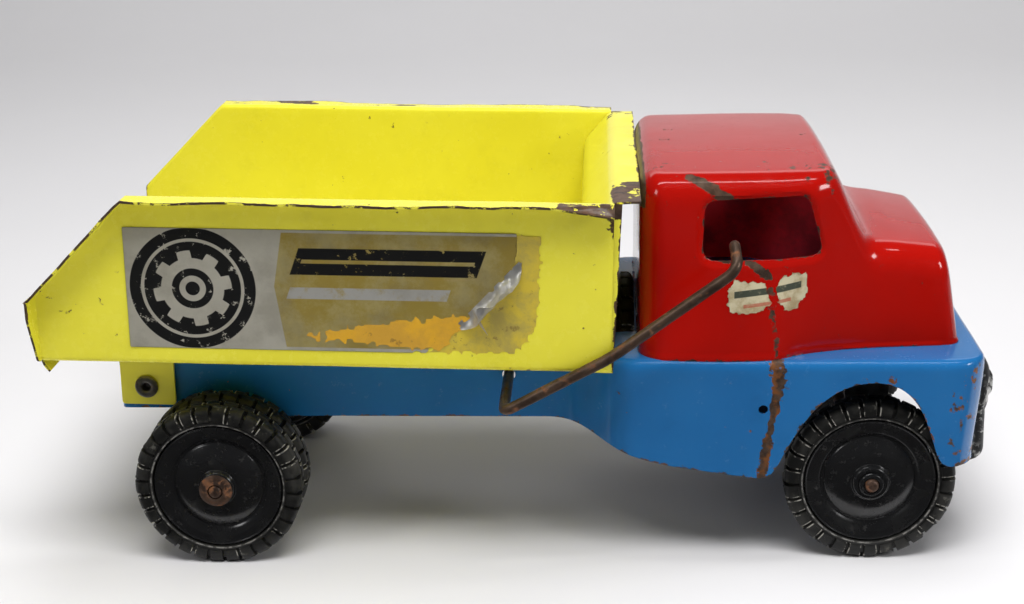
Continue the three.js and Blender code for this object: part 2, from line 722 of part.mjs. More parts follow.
for (const [sideName, side] of [['right', -1], ['left', 1]]) {
  for (const wheel of WHEELS) {
    const tyre = turnedAcross(tyreProfile(wheel.face), wheel.x, WHEEL_RADIUS, side, 32);
    const disc = turnedAcross(
      wheelDiscProfile(wheel.face, wheel.bossInner, wheel.bossOuter), wheel.x, WHEEL_RADIUS, side, 22);
    add(truck, `${wheel.name}_tyre_${sideName}`, tyre, RUBBER);
    add(truck, `${wheel.name}_disc_${sideName}`, disc, HUB_BLACK);
  }
  for (const end of AXLE_ENDS) {
    const spacer = makeTube(end.x, WHEEL_RADIUS, 5, AXLE_RADIUS + 0.35, end.spacerIn, end.spacerOut);
    const cap = makeTube(end.x, WHEEL_RADIUS, end.nutRadius, AXLE_RADIUS + GAP, end.nut, end.nut + 1.4);
    const facing = (piece) => (side > 0 ? piece : piece.mirror([0, 1, 0]));
    add(truck, `${end.name}_spacer_${sideName}`, facing(spacer), DULL_STEEL);
    add(truck, `${end.name}_push_nut_${sideName}`, facing(cap), end.nutMaterial);
  }
  const rivet = turnedAcross([
    [1.9, 47.4], [5, 47.4], [5, 48.3], [2.9, 48.3],
    [2.9, 53], [5.4, 53], [4.8, 54.2], [1.9, 54.2], [1.9, 47.4],
  ], HINGE_X, HINGE_Z, side, 14);
  add(truck, `hinge_rivet_${sideName}`, rivet, DULL_STEEL);
  add(tray, `hinge_bracket_${sideName}`, makeHingeBracket(side), YELLOW);
}

add(tray, 'tray_pan', makeTrayPan(), YELLOW);
add(tray, 'tray_front_wall', makeTrayFrontWall(), YELLOW);
add(truck, 'lever_rod', makeLeverRod(), BROWN_STEEL);
add(truck, 'lever_push_nut', makeTube(LEVER_X, LEVER_Z, 5.5, ROD_RADIUS + GAP, 52, 53.4), BROWN_STEEL);

const middle = TYRE_WIDTH / 2;
add(truck, 'spare_tyre', turnedAlong(tyreProfile(middle), 32), RUBBER);
add(truck, 'spare_disc', turnedAlong(wheelDiscProfile(middle, -7.6, 7.6), 22), HUB_BLACK);
add(truck, 'spare_carrier', makeSpareCarrier(), BLUE);
add(truck, 'spare_bolt', makeSpareBolt(), DULL_STEEL);

export default truck;
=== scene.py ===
"""Pressed-tin toy tip truck: the looks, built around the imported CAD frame.

Sizes are in millimetres in the truck's drawing frame (X from the rear axle) until
place() turns them into metres in the row frame.
"""
import json
import math
import random

import bmesh
import bpy
import numpy as np
from mathutils import Matrix, Vector, noise

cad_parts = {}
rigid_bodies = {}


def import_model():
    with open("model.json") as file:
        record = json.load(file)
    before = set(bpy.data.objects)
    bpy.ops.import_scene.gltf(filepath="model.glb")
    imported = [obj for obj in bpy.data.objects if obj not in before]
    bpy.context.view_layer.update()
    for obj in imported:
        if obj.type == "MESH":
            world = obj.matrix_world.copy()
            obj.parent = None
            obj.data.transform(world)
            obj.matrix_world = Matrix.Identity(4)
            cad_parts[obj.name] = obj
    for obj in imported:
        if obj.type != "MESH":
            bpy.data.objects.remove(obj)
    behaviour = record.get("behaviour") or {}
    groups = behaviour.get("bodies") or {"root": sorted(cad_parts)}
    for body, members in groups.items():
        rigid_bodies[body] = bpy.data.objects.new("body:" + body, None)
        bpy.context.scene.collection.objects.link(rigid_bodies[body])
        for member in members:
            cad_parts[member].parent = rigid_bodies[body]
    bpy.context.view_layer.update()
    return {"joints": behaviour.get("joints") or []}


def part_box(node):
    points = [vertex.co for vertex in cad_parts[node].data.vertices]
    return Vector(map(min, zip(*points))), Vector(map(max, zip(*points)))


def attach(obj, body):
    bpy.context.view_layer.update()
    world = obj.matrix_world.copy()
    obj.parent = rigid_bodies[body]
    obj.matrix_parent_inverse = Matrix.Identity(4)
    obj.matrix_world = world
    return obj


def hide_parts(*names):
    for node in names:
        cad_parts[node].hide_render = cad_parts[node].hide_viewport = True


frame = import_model()

# ---------------------------------------------------------------- frame and driving sizes
MM = 0.001
joints = {j["name"]: j for j in frame["joints"]}


def middle(node):
    low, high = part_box(node)
    return (low + high) / 2


REAR_AXLE = middle("rear_axle")
FRONT_AXLE = middle("front_axle")
X0 = REAR_AXLE.x / MM
WHEELBASE = (FRONT_AXLE.x - REAR_AXLE.x) / MM
WHEEL_RADIUS = REAR_AXLE.z / MM
HINGE = Vector(joints["tray_tilt"]["pos_m"])
LEVER_PIVOT = Vector(joints["lever_swing"]["pos_m"])
HINGE_X, HINGE_Z = HINGE.x / MM - X0, HINGE.z / MM
LEVER_X, LEVER_Z = LEVER_PIVOT.x / MM - X0, LEVER_PIVOT.z / MM

TRAY_REST_ANGLE = math.radians(1.3)
TRAY_TURN = (
    Matrix.Translation(HINGE)
    @ Matrix.Rotation(TRAY_REST_ANGLE, 4, "Y")
    @ Matrix.Translation(-HINGE)
)
PRESSING = 1.2
SHEET = 1.0

TYRE_WIDTH = 13.4
AXLE_RADIUS = 3.1

TRAY_FRONT_X, TRAY_REAR_X, RIM_REAR_X = 176.0, -71.9, -28.7
RIM_Z, REAR_RIM_Z, FLOOR_Z = 177.0, 132.0, 101.3
TRAY_HALF, FLANGE = 91.0, 10.0
FRONT_WALL_X, WALL_BEND_Z, FRONT_FLANGE_X = 163.0, 161.0, 187.0

CHASSIS_TAIL_X, CHASSIS_FRONT_X = -50.0, 336.0
CHASSIS_HALF, WING_HALF = 50.0, 78.5
CHASSIS_TOP_Z, WING_TOP_Z = 95.0, 97.0
FLARE_START_X, FLARE_END_X = 146.0, 190.0
NOSE_RADIUS = 17.0

CAB_REAR_X, CAB_FRONT_X = 189.2, 326.0
CAB_BASE_Z = WING_TOP_Z - 0.4


def place(x, y, z):
    return Vector(((x + X0) * MM, y * MM, z * MM))


# ---------------------------------------------------------------- shader building
class Shader:
    """A small hand for wiring one procedural material."""

    def __init__(self, name):
        self.material = bpy.data.materials.new(name)
        self.material.use_nodes = True
        self.tree = self.material.node_tree
        self.surface = self.tree.nodes["Principled BSDF"]
        self.where = self.node("ShaderNodeTexCoord").outputs["Object"]

    def node(self, kind, **settings):
        made = self.tree.nodes.new(kind)
        for key, value in settings.items():
            setattr(made, key, value)
        return made

    def feed(self, socket, value):
        if isinstance(value, bpy.types.NodeSocket):
            self.tree.links.new(value, socket)
        elif hasattr(socket.default_value, "__len__") and not hasattr(value, "__len__"):
            socket.default_value = [value] * len(socket.default_value)
        elif hasattr(value, "__len__") and len(value) == 3 and len(socket.default_value) == 4:
            socket.default_value = (*value, 1)
        else:
            socket.default_value = value

    def set(self, **values):
        for key, value in values.items():
            self.feed(self.surface.inputs[key.replace("_", " ")], value)
        return self

    def math(self, operation, a, b=0.0, clamp=False):
        made = self.node("ShaderNodeMath", operation=operation, use_clamp=clamp)
        self.feed(made.inputs[0], a)
        self.feed(made.inputs[1], b)
        return made.outputs[0]

    def vector(self, operation, a, b=(0, 0, 0), output="Vector"):
        made = self.node("ShaderNodeVectorMath", operation=operation)
        self.feed(made.inputs[0], a)
        self.feed(made.inputs[1], b)
        return made.outputs[output]

    def scale(self, a, factor):
        made = self.node("ShaderNodeVectorMath", operation="SCALE")
        self.feed(made.inputs[0], a)
        self.feed(made.inputs["Scale"], factor)
        return made.outputs["Vector"]

    def step(self, value, low, high, to_low=0.0, to_high=1.0):
        made = self.node("ShaderNodeMapRange", interpolation_type="SMOOTHSTEP")
        for index, part in enumerate((value, low, high, to_low, to_high)):
            self.feed(made.inputs[index], part)
        return made.outputs[0]

    def noise(self, scale, detail, roughness=0.55, distortion=0.0):
        made = self.node("ShaderNodeTexNoise")
        self.feed(made.inputs["Vector"], self.where)
        self.feed(made.inputs["Scale"], scale)
        self.feed(made.inputs["Detail"], detail)
        self.feed(made.inputs["Roughness"], roughness)
        self.feed(made.inputs["Distortion"], distortion)
        return made.outputs["Fac"]

    def mix(self, factor, a, b):
        made = self.node("ShaderNodeMix", data_type="RGBA")
        self.feed(made.inputs["Factor"], factor)
        self.feed(made.inputs[6], a)
        self.feed(made.inputs[7], b)
        return made.outputs[2]

    def blend(self, factor, a, b):
        made = self.node("ShaderNodeMix", data_type="FLOAT")
        self.feed(made.inputs["Factor"], factor)
        self.feed(made.inputs[2], a)
        self.feed(made.inputs[3], b)
        return made.outputs[0]

    def attribute(self, name):
        return self.node("ShaderNodeAttribute", attribute_name=name).outputs["Fac"]

    def most(self, *masks):
        result = masks[0]
        for mask in masks[1:]:
            result = self.math("MAXIMUM", result, mask)
        return result

    def both(self, a, b):
        return self.math("MULTIPLY", a, b)

    def axis(self, name):
        made = self.node("ShaderNodeSeparateXYZ")
        self.feed(made.inputs[0], self.where)
        return made.outputs[name]

    def between(self, value, low, high, soft):
        above = self.step(value, low - soft, low)
        return self.both(above, self.step(value, high, high + soft, 1, 0))

    def streak(self, start, end, width, wobble):
        """A worn streak from start to end, in metres, with a ragged edge."""
        start, end = Vector(start), Vector(end)
        run = end - start
        rel = self.vector("SUBTRACT", self.where, start)
        reach = self.vector("DOT_PRODUCT", rel, run, "Value")
        along = self.math("DIVIDE", reach, run.length_squared, clamp=True)
        off = self.vector("SUBTRACT", rel, self.scale(tuple(run), along))
        gap = self.vector("LENGTH", off, output="Value")
        ragged = self.both(self.math("SUBTRACT", self.noise(420, 5), 0.5), width * wobble * 2)
        return self.step(self.math("ADD", gap, ragged), width * 0.42, width * 0.5, 1, 0)

    def bump(self, height, strength, distance, after=None):
        made = self.node("ShaderNodeBump")
        self.feed(made.inputs["Strength"], strength)
        self.feed(made.inputs["Distance"], distance)
        self.feed(made.inputs["Height"], height)
        if after is not None:
            self.feed(made.inputs["Normal"], after)
        return made.outputs["Normal"]


BARE = (0.15, 0.095, 0.065)
BARE_DARK = (0.06, 0.036, 0.026)
RUST = (0.3, 0.115, 0.04)


def enamel(name, colour, deep, chips, roughness, rust, waviness, dirt):
    """Gloss enamel over tin. chips is a function that returns the mask where the paint is gone."""
    s = Shader(name)
    cloud = s.noise(18, 3)
    fine = s.noise(900, 3)
    paint = s.mix(s.step(cloud, 0.3, 0.75), colour, deep)
    grime = s.both(s.step(s.noise(70, 6, 0.7), 0.52, 0.78), dirt)
    paint = s.mix(s.both(grime, 0.35), paint, tuple(c * 0.45 for c in colour))
    lost = chips(s)
    metal = s.mix(s.step(s.noise(260, 5, 0.65), 0.35, 0.7), BARE, BARE_DARK)
    metal = s.mix(s.both(s.step(s.noise(160, 4), 0.44, 0.6), rust), metal, RUST)
    s.set(Base_Color=s.mix(lost, paint, metal))
    scuffs = s.step(s.noise(150, 8, 0.75), 0.5, 0.8)
    gloss = s.blend(scuffs, roughness, roughness + 0.2)
    s.set(Roughness=s.blend(lost, gloss, s.blend(fine, 0.42, 0.65)))
    s.set(Metallic=s.both(lost, 0.55))
    s.surface.inputs["Coat Weight"].default_value = 0.2
    s.surface.inputs["Coat Roughness"].default_value = 0.05
    s.surface.inputs["Specular IOR Level"].default_value = 0.35
    sheet_wave = s.bump(s.noise(22, 2), waviness, 0.0012)
    peel = s.bump(s.noise(420, 2), 0.12, 0.0002, sheet_wave)
    raised = s.bump(s.math("SUBTRACT", 1.0, lost), 0.7, 0.00022, peel)
    s.set(Normal=s.bump(s.both(fine, lost), 0.5, 0.00015, raised))
    return s.material


# ---------------------------------------------------------------- mesh building
def link(name, data):
    obj = bpy.data.objects.new(name, data)
    bpy.context.scene.collection.objects.link(obj)
    return obj


def new_object(name, verts, faces, materials=()):
    mesh = bpy.data.meshes.new(name)
    mesh.from_pydata([tuple(v) for v in verts], [], faces)
    for material in materials:
        mesh.materials.append(material)
    return link(name, mesh)


def make_object(name, verts, faces, body, materials, replaces=()):
    """A visible piece of the truck, riding on one of its bodies."""
    obj = new_object(name, verts, faces, materials)
    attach(obj, body)
    if replaces:
        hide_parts(*replaces)
    return obj


def edit(obj, change):
    bm = bmesh.new()
    bm.from_mesh(obj.data)
    change(bm)
    bm.to_mesh(obj.data)
    bm.free()


def face_out(obj):
    edit(obj, lambda bm: bmesh.ops.recalc_face_normals(bm, faces=bm.faces))


def weld(obj, top_up=False):
    """Merges patch seams and turns every face the same way."""
    def height(face):
        centre = face.calc_center_median()
        return centre.z - abs(centre.y) * 0.01

    def change(bm):
        bmesh.ops.remove_doubles(bm, verts=bm.verts, dist=0.03 * MM)
        bmesh.ops.recalc_face_normals(bm, faces=bm.faces)
        if top_up and max(bm.faces, key=height).normal.z <= 0:
            bmesh.ops.reverse_faces(bm, faces=bm.faces)
    edit(obj, change)


def soften(obj, degrees):
    """Smooth shading, with creases where faces meet at more than the given angle."""
    limit = math.radians(degrees)

    def change(bm):
        for face in bm.faces:
            face.smooth = True
        for edge in bm.edges:
            edge.smooth = len(edge.link_faces) == 2 and edge.calc_face_angle(0) < limit
    edit(obj, change)


def apply_modifiers(obj):
    graph = bpy.context.evaluated_depsgraph_get()
    baked = bpy.data.meshes.new_from_object(
        obj.evaluated_get(graph), preserve_all_data_layers=True, depsgraph=graph)
    obj.modifiers.clear()
    old = obj.data
    obj.data = baked
    bpy.data.meshes.remove(old)


def thicken(obj, thickness, offset, inner=0, rim=0):
    made = obj.modifiers.new("sheet", "SOLIDIFY")
    made.thickness = thickness * MM
    made.offset = offset
    made.use_even_offset = True
    made.material_offset = inner
    made.material_offset_rim = rim
    apply_modifiers(obj)


def round_edges(obj, width):
    made = obj.modifiers.new("edges", "BEVEL")
    made.width = width * MM
    made.segments = 2
    made.limit_method = "ANGLE"
    made.angle_limit = math.radians(50)
    made.use_clamp_overlap = True
    made.miter_outer = "MITER_ARC"
    apply_modifiers(obj)


def cut(obj, cutters):
    for cutter in cutters:
        made = obj.modifiers.new("cut", "BOOLEAN")
        made.operation = "DIFFERENCE"
        made.solver = "EXACT"
        made.object = cutter
    apply_modifiers(obj)
    for cutter in cutters:
        mesh = cutter.data
        bpy.data.objects.remove(cutter)
        bpy.data.meshes.remove(mesh)


def prism(points, low, high, axis):
    """A closed cutter whose outline is drawn across the given axis, in drawing millimetres."""
    def at(a, b, c):
        return place(*{"x": (c, a, b), "y": (a, c, b), "z": (a, b, c)}[axis])
    count = len(points)
    verts = [at(a, b, low) for a, b in points] + [at(a, b, high) for a, b in points]
    faces = [tuple(range(count)), tuple(range(2 * count - 1, count - 1, -1))]
    for i in range(count):
        j = (i + 1) % count
        faces.append((i, i + count, j + count, j))
    obj = new_object("cutter", verts, faces)
    face_out(obj)
    return obj


def circle(a, b, radius, count=32):
    turns = [2 * math.pi * i / count for i in range(count)]
    return [(a + radius * math.cos(turn), b + radius * math.sin(turn)) for turn in turns]


def box_outline(a0, a1, b0, b1):
    return [(a0, b0), (a1, b0), (a1, b1), (a0, b1)]


def rounded(a0, a1, b0, b1, radius, steps=6):
    points = []
    for ca, cb, start in (
        (a1 - radius, b1 - radius, 0), (a0 + radius, b1 - radius, 90),
        (a0 + radius, b0 + radius, 180), (a1 - radius, b0 + radius, 270),
    ):
        for i in range(steps + 1):
            turn = math.radians(start + 90 * i / steps)
            points.append((ca + radius * math.cos(turn), cb + radius * math.sin(turn)))
    return points


def read_points(obj):
    co = np.empty(len(obj.data.vertices) * 3)
    obj.data.vertices.foreach_get("co", co)
    return co.reshape(-1, 3)


def write_points(obj, co):
    obj.data.vertices.foreach_set("co", co.reshape(-1))
    obj.data.update()


def drawing(obj):
    """Vertex places in drawing millimetres."""
    co = read_points(obj) / MM
    co[:, 0] -= X0
    return co


def redraw(obj, co):
    """Moves the vertices to new places in drawing millimetres."""
    co[:, 0] += X0
    write_points(obj, co * MM)


def paint(obj, name, values):
    layer = obj.data.attributes.new(name, "FLOAT", "POINT")
    layer.data.foreach_set("value", np.asarray(values, dtype=np.float32))


def dent(obj, depth, size, seed):
    """Low, slow waves in a pressing, pushed along the vertex normals."""
    co = read_points(obj)
    shift = Vector((seed * 7.3, seed * 3.1, seed * 5.7))
    for vertex, point in zip(obj.data.vertices, co):
        wave = noise.noise(Vector(point) / (size * MM) + shift)
        point += np.array(vertex.normal) * wave * depth * MM
    write_points(obj, co)


def smooth01(value):
    value = np.clip(value, 0.0, 1.0)
    return value * value * (3 - 2 * value)


def smoother01(value):
    value = np.clip(value, 0.0, 1.0)
    return value ** 3 * (value * (value * 6 - 15) + 10)


def along(keys, x):
    """Smooth value through (x, value) keys."""
    if x <= keys[0][0]:
        return keys[0][1]
    for i in range(len(keys) - 1):
        (x0, v0), (x1, v1) = keys[i], keys[i + 1]
        if x <= x1:
            t = (x - x0) / (x1 - x0)
            before, after = keys[max(i - 1, 0)], keys[min(i + 2, len(keys) - 1)]
            slope0 = (v1 - before[1]) / (x1 - before[0]) * (x1 - x0)
            slope1 = (after[1] - v0) / (after[0] - x0) * (x1 - x0)
            return (
                (2 * t ** 3 - 3 * t ** 2 + 1) * v0 + (t ** 3 - 2 * t ** 2 + t) * slope0
                + (-2 * t ** 3 + 3 * t ** 2) * v1 + (t ** 3 - t ** 2) * slope1
            )
    return keys[-1][1]


def end_round(radius, distance):
    inside = radius - min(max(distance, 0), radius)
    return radius - math.sqrt(max(radius ** 2 - inside ** 2, 0))


def bezier(a, b, c, d, steps=16):
    points = []
    for i in range(1, steps + 1):
        t = i / steps
        s = 1 - t
        points.append(tuple(
            s ** 3 * p + 3 * s * s * t * q + 3 * s * t * t * r + t ** 3 * w
            for p, q, r, w in zip(a, b, c, d)))
    return points


def outline_distance(points, outline):
    """Signed distance from 2-D points to a closed outline, positive outside."""
    p = np.asarray(points)
    poly = np.asarray(outline)
    nearest = np.full(len(p), 1e9)
    inside = np.zeros(len(p), dtype=bool)
    for a, b in zip(poly, np.roll(poly, -1, axis=0)):
        run = b - a
        t = np.clip(((p - a) @ run) / max(run @ run, 1e-9), 0, 1)
        nearest = np.minimum(nearest, np.linalg.norm(p - a - t[:, None] * run, axis=1))
        crosses = (a[1] > p[:, 1]) != (b[1] > p[:, 1])
        if a[1] != b[1]:
            inside ^= crosses & (p[:, 0] < (b[0] - a[0]) * (p[:, 1] - a[1]) / (b[1] - a[1]) + a[0])
    return np.where(inside, -nearest, nearest)


def half_section(half_top, top, half_base, base, radius, crown, counts):
    """Half an arched section, from the middle of the top down to the foot of the side."""
    n_top, n_corner, n_side = counts
    flat_end = half_top - radius
    points = []
    for i in range(n_top):
        y = flat_end * i / n_top
        points.append((y, top + crown * (1 - (y / half_top) ** 2)))
    start = (flat_end, top + crown * (1 - (flat_end / half_top) ** 2))
    run = np.array((half_base - half_top, base - top))
    run = run / np.linalg.norm(run)
    end = (half_top + run[0] * radius, top + run[1] * radius)
    for i in range(n_corner + 1):
        t = i / n_corner
        s = 1 - t
        points.append((
            s * s * start[0] + 2 * s * t * half_top + t * t * end[0],
            s * s * start[1] + 2 * s * t * top + t * t * end[1]))
    for i in range(1, n_side + 1):
        t = i / n_side
        points.append((end[0] + (half_base - end[0]) * t, end[1] + (base - end[1]) * t))
    return points


def grid_faces(rows, columns, closed=False, looped=False):
    """Quads of a grid. Closed joins its last column to its first, looped its last row."""
    faces = []
    for i in range(rows - (0 if looped else 1)):
        a, b = i * columns, (i + 1) % rows * columns
        for j in range(columns - (0 if closed else 1)):
            k = (j + 1) % columns
            faces.append((a + j, a + k, b + k, b + j))
    return faces


def capped_faces(rows, columns, closed=False):
    """Quads of a loft, with its first and last ring filled."""
    last = (rows - 1) * columns
    return grid_faces(rows, columns, closed) + [
        tuple(range(columns)), tuple(reversed(range(last, last + columns)))]


def mirrored(half, x, shift=None):
    """A ring across the truck from half a section; shift(z) leans it along X."""
    def lay(y, z):
        return (x + (shift(z) if shift else 0), y, z)
    return [lay(y, z) for y, z in reversed(half)] + [lay(-y, z) for y, z in half[1:]]


def arched_shell(part, rings, materials):
    """A closed arch over the rings, in place of a CAD node of the chassis body."""
    verts = [place(*p) for row in rings for p in row]
    faces = capped_faces(len(rings), len(rings[0]))
    obj = make_object(part + "_look", verts, faces, "chassis", materials, [part])
    weld(obj, top_up=True)
    return obj


def patch(rows):
    """Vertices and faces of one rectangular patch of drawing points."""
    verts = [place(*p) for row in rows for p in row]
    return verts, grid_faces(len(rows), len(rows[0]))


def join_patches(patches):
    verts, faces = [], []
    for more, cells in patches:
        faces += [tuple(i + len(verts) for i in cell) for cell in cells]
        verts += more
    return verts, faces


def about_axle(x, side, z, axis, radius, turn, distance):
    """A place at a radius and a turn about an axle that lies along Y or X."""
    a, b = radius * math.cos(turn), radius * math.sin(turn)
    if axis == "y":
        return place(x + a, side * distance, z + b)
    return place(x + distance, a, z + b)


def turned(part, profile, x, side, body, material, segments=96, z=WHEEL_RADIUS, axis="y"):
    """Turns a closed (radius, distance) profile about an axle, in place of a CAD node."""
    verts = [
        about_axle(x, side, z, axis, radius, 2 * math.pi * i / segments, distance)
        for i in range(segments) for radius, distance in profile]
    faces = grid_faces(segments, len(profile), closed=True, looped=True)
    obj = make_object(part + "_look", verts, faces, body, [material], [part])

    def change(bm):
        bmesh.ops.remove_doubles(bm, verts=bm.verts, dist=0.002 * MM)
        bmesh.ops.recalc_face_normals(bm, faces=bm.faces)
    edit(obj, change)
    soften(obj, 40)


def fillet(profile, radius, steps=3):
    """Rounds every corner of a closed (radius, distance) profile a little."""
    out = []
    count = len(profile)
    for i in range(count):
        here = np.array(profile[i], dtype=float)
        back = np.array(profile[i - 1], dtype=float) - here
        ahead = np.array(profile[(i + 1) % count], dtype=float) - here
        lb, la = np.linalg.norm(back), np.linalg.norm(ahead)
        r = min(radius, lb * 0.45, la * 0.45)
        p, q = here + back / lb * r, here + ahead / la * r
        for k in range(steps + 1):
            t = k / steps
            out.append(tuple((1 - t) ** 2 * p + 2 * (1 - t) * t * here + t * t * q))
    return out


# ---------------------------------------------------------------- finishes
def specks(s, scale, size, share, seed):
    """Small round pits scattered over a surface."""
    cells = s.node("ShaderNodeTexVoronoi")
    s.feed(cells.inputs["Vector"], s.vector("ADD", s.where, (seed, seed * 0.7, seed * 0.3)))
    s.feed(cells.inputs["Scale"], scale)
    pick = s.node("ShaderNodeSeparateColor")
    s.feed(pick.inputs[0], cells.outputs["Color"])
    chosen = s.step(pick.outputs[0], 1 - share, 1 - share + 0.01)
    ragged = s.math("ADD", cells.outputs["Distance"], s.both(s.noise(scale * 9, 3), size * 0.9))
    return s.both(chosen, s.step(ragged, size, size * 1.25, 1, 0))


def edge_chips(s, reach, strength, scale, threshold):
    """Paint lost along free edges; the edge attribute is the distance to one in millimetres."""
    near = s.math("SUBTRACT", 1.0, s.math("DIVIDE", s.attribute("edge"), reach), clamp=True)
    worn = s.math("ADD", s.noise(scale, 7, 0.68), s.math("MULTIPLY", near, strength))
    return s.step(worn, threshold, threshold + 0.025)


def drawing_streak(s, start, end, width, wobble):
    return s.streak(place(*start), place(*end), width * MM, wobble)


def band(s, x=None, y=None, z=None, soft=1.0):
    """A soft box in drawing millimetres."""
    mask = None
    for axis, span, shift in (("X", x, X0), ("Y", y, 0), ("Z", z, 0)):
        if span is None:
            continue
        low, high = ((v + shift) * MM for v in span)
        part = s.between(s.axis(axis), low, high, soft * MM)
        mask = part if mask is None else s.both(mask, part)
    return mask


def patchy(s, region, scale, gain, threshold=0.72):
    """Ragged patches that grow where the region mask is strong."""
    grown = s.math("ADD", s.noise(scale, 7, 0.66), s.both(region, gain))
    return s.step(grown, threshold, threshold + 0.02)


def pan_chips(s):
    corner = band(s, x=(156, 182), y=(-106, -95), z=(160, 180), soft=5)
    cut_edge = band(s, x=(175.4, 178), y=(-93, -88), z=(160, 169), soft=2.5)
    low_front = band(s, x=(172, 180), z=(100, 156), soft=2)
    edges = s.math("SUBTRACT", 1.0, low_front)
    far_edge = band(s, x=(-32, 176), y=(96, 106), soft=3)
    far_edge = s.both(far_edge, s.step(s.noise(26, 2), 0.42, 0.55))
    return s.most(
        s.both(edge_chips(s, 1.3, 0.3, 170, 0.68), edges),
        s.both(edge_chips(s, 7, 0.07, 105, 0.73), edges),
        specks(s, 42, 0.05, 0.07, 0.3), patchy(s, corner, 90, 0.26), patchy(s, cut_edge, 260, 0.27),
        patchy(s, far_edge, 110, 0.27))


def wall_chips(s):
    near_end = band(s, x=(178, 190), y=(-92, -58), z=(165, 180), soft=3)
    far_end = band(s, x=(177, 190), y=(78, 92), soft=5)
    return s.most(
        edge_chips(s, 1.5, 0.26, 150, 0.68), edge_chips(s, 9, 0.075, 90, 0.72),
        patchy(s, near_end, 75, 0.31), patchy(s, far_end, 80, 0.2), specks(s, 42, 0.05, 0.06, 1.3))


def cab_chips(s):
    return s.most(
        edge_chips(s, 1.6, 0.2, 260, 0.68),
        specks(s, 60, 0.055, 0.06, 2.1),
        drawing_streak(s, (211, -62.5, 176), (227, -68.6, 167), 5.2, 0.35),
        drawing_streak(s, (236, -71.3, 140), (244, -72.2, 134), 4.0, 0.5),
        s.both(drawing_streak(s, (245, -72.6, 128), (248.5, -75.0, 100), 2.8, 1.0),
               s.step(s.noise(190, 6, 0.7), 0.48, 0.53)),
        patchy(s, band(s, x=(186, 190.8), z=(163, 178), soft=1.8), 90, 0.42, 0.7),
        patchy(s, band(s, x=(191, 198), y=(-66, -50), z=(168, 178), soft=4), 130, 0.12, 0.7),
        patchy(s, band(s, x=(258, 276), y=(-62, -48), z=(170, 180), soft=6), 130, 0.13, 0.7),
        patchy(s, band(s, x=(240, 275), y=(-58, -48), z=(173, 180), soft=5), 190, 0.1, 0.7),
        patchy(s, band(s, x=(192, 205), y=(-62, 62), z=(172, 180), soft=5), 150, 0.07, 0.7))


def wing_rust(s):
    route = [(248.6, -76, 99), (249.6, -78.5, 86), (247.8, -78.5, 74), (245.4, -78.5, 60),
             (243.2, -78.5, 42)]
    widths = [6.6, 4.6, 3.0, 4.6]
    run = [drawing_streak(s, a, b, w, 0.6) for a, b, w in zip(route, route[1:], widths)]
    corner = patchy(s, band(s, x=(325, 336), y=(-90, -50), z=(50, 92), soft=5), 140, 0.12, 0.7)
    foot = patchy(s, band(s, x=(318, 340), y=(-90, 90), z=(40, 49), soft=2), 120, 0.2, 0.7)
    far = patchy(s, band(s, x=(322, 340), y=(45, 90), z=(60, 96), soft=4), 140, 0.1, 0.7)
    arch = patchy(s, band(s, x=(285, 300), y=(-90, -70), z=(84, 90), soft=2), 150, 0.16, 0.7)
    return s.most(
        *run, corner, foot, far, arch,
        edge_chips(s, 1.8, 0.2, 230, 0.68),
        specks(s, 55, 0.06, 0.1, 4.2), specks(s, 120, 0.08, 0.05, 5.1))


YELLOW_PAINT = ((0.81, 0.75, 0.05), (0.77, 0.7, 0.035))
RED_PAINT = ((0.38, 0.004, 0.0015), (0.33, 0.003, 0.001))
BLUE_PAINT = ((0.014, 0.14, 0.37), (0.01, 0.12, 0.33))


def thin_edge(name, colour, share=0.45):
    """The cut edge of a painted sheet: mostly bare brown steel."""
    s = Shader(name)
    left = s.step(s.noise(140, 6, 0.7), share, share + 0.06)
    metal = s.mix(s.noise(420, 4), BARE_DARK, BARE)
    s.set(Base_Color=s.mix(left, metal, colour), Roughness=s.blend(left, 0.55, 0.3))
    s.set(Metallic=s.blend(left, 0.5, 0.0))
    s.set(Normal=s.bump(s.noise(800, 4), 0.35, 0.0002))
    return s.material


yellow_pan = enamel("yellow_enamel_tray", *YELLOW_PAINT, pan_chips, 0.26, 0.2, 0.25, 0.35)
yellow_wall = enamel("yellow_enamel_front", *YELLOW_PAINT, wall_chips, 0.28, 0.15, 0.3, 0.5)
yellow_plain = enamel("yellow_enamel_bracket", *YELLOW_PAINT,
                      lambda s: specks(s, 60, 0.08, 0.2, 3.3), 0.3, 0.3, 0.3, 0.6)
red_cab = enamel("red_enamel_cab", *RED_PAINT, cab_chips, 0.12, 0.1, 0.3, 0.35)
blue_chassis = enamel("blue_enamel_chassis", *BLUE_PAINT, wing_rust, 0.2, 1.0, 0.35, 0.5)
blue_plain = enamel("blue_enamel_carrier", *BLUE_PAINT,
                    lambda s: specks(s, 60, 0.08, 0.2, 6.3), 0.25, 0.8, 0.3, 0.6)
yellow_edge = thin_edge("yellow_sheet_edge", YELLOW_PAINT[0], 0.5)
red_edge = thin_edge("red_sheet_edge", RED_PAINT[0], 0.4)
blue_edge = thin_edge("blue_sheet_edge", BLUE_PAINT[0], 0.42)


def primer(name, colour):
    """The thin overspray and bare tin inside a pressing."""
    s = Shader(name)
    thin = s.step(s.noise(38, 6, 0.65), 0.46, 0.66)
    s.set(Base_Color=s.mix(thin, colour, tuple(c * 0.55 + 0.01 for c in colour)))
    s.set(Roughness=s.blend(thin, 0.35, 0.6))
    s.set(Normal=s.bump(s.noise(500, 4), 0.25, 0.0002))
    return s.material


# The cab's inside is painted a much brighter red than its enamel. This is painted light standing in
# for the light that comes in through the windows. The primer's thin patches on it are real wear.
red_inside_with_painted_light = primer("red_inside_with_painted_light", (0.85, 0.04, 0.05))
blue_inside = primer("blue_inside", (0.02, 0.05, 0.11))


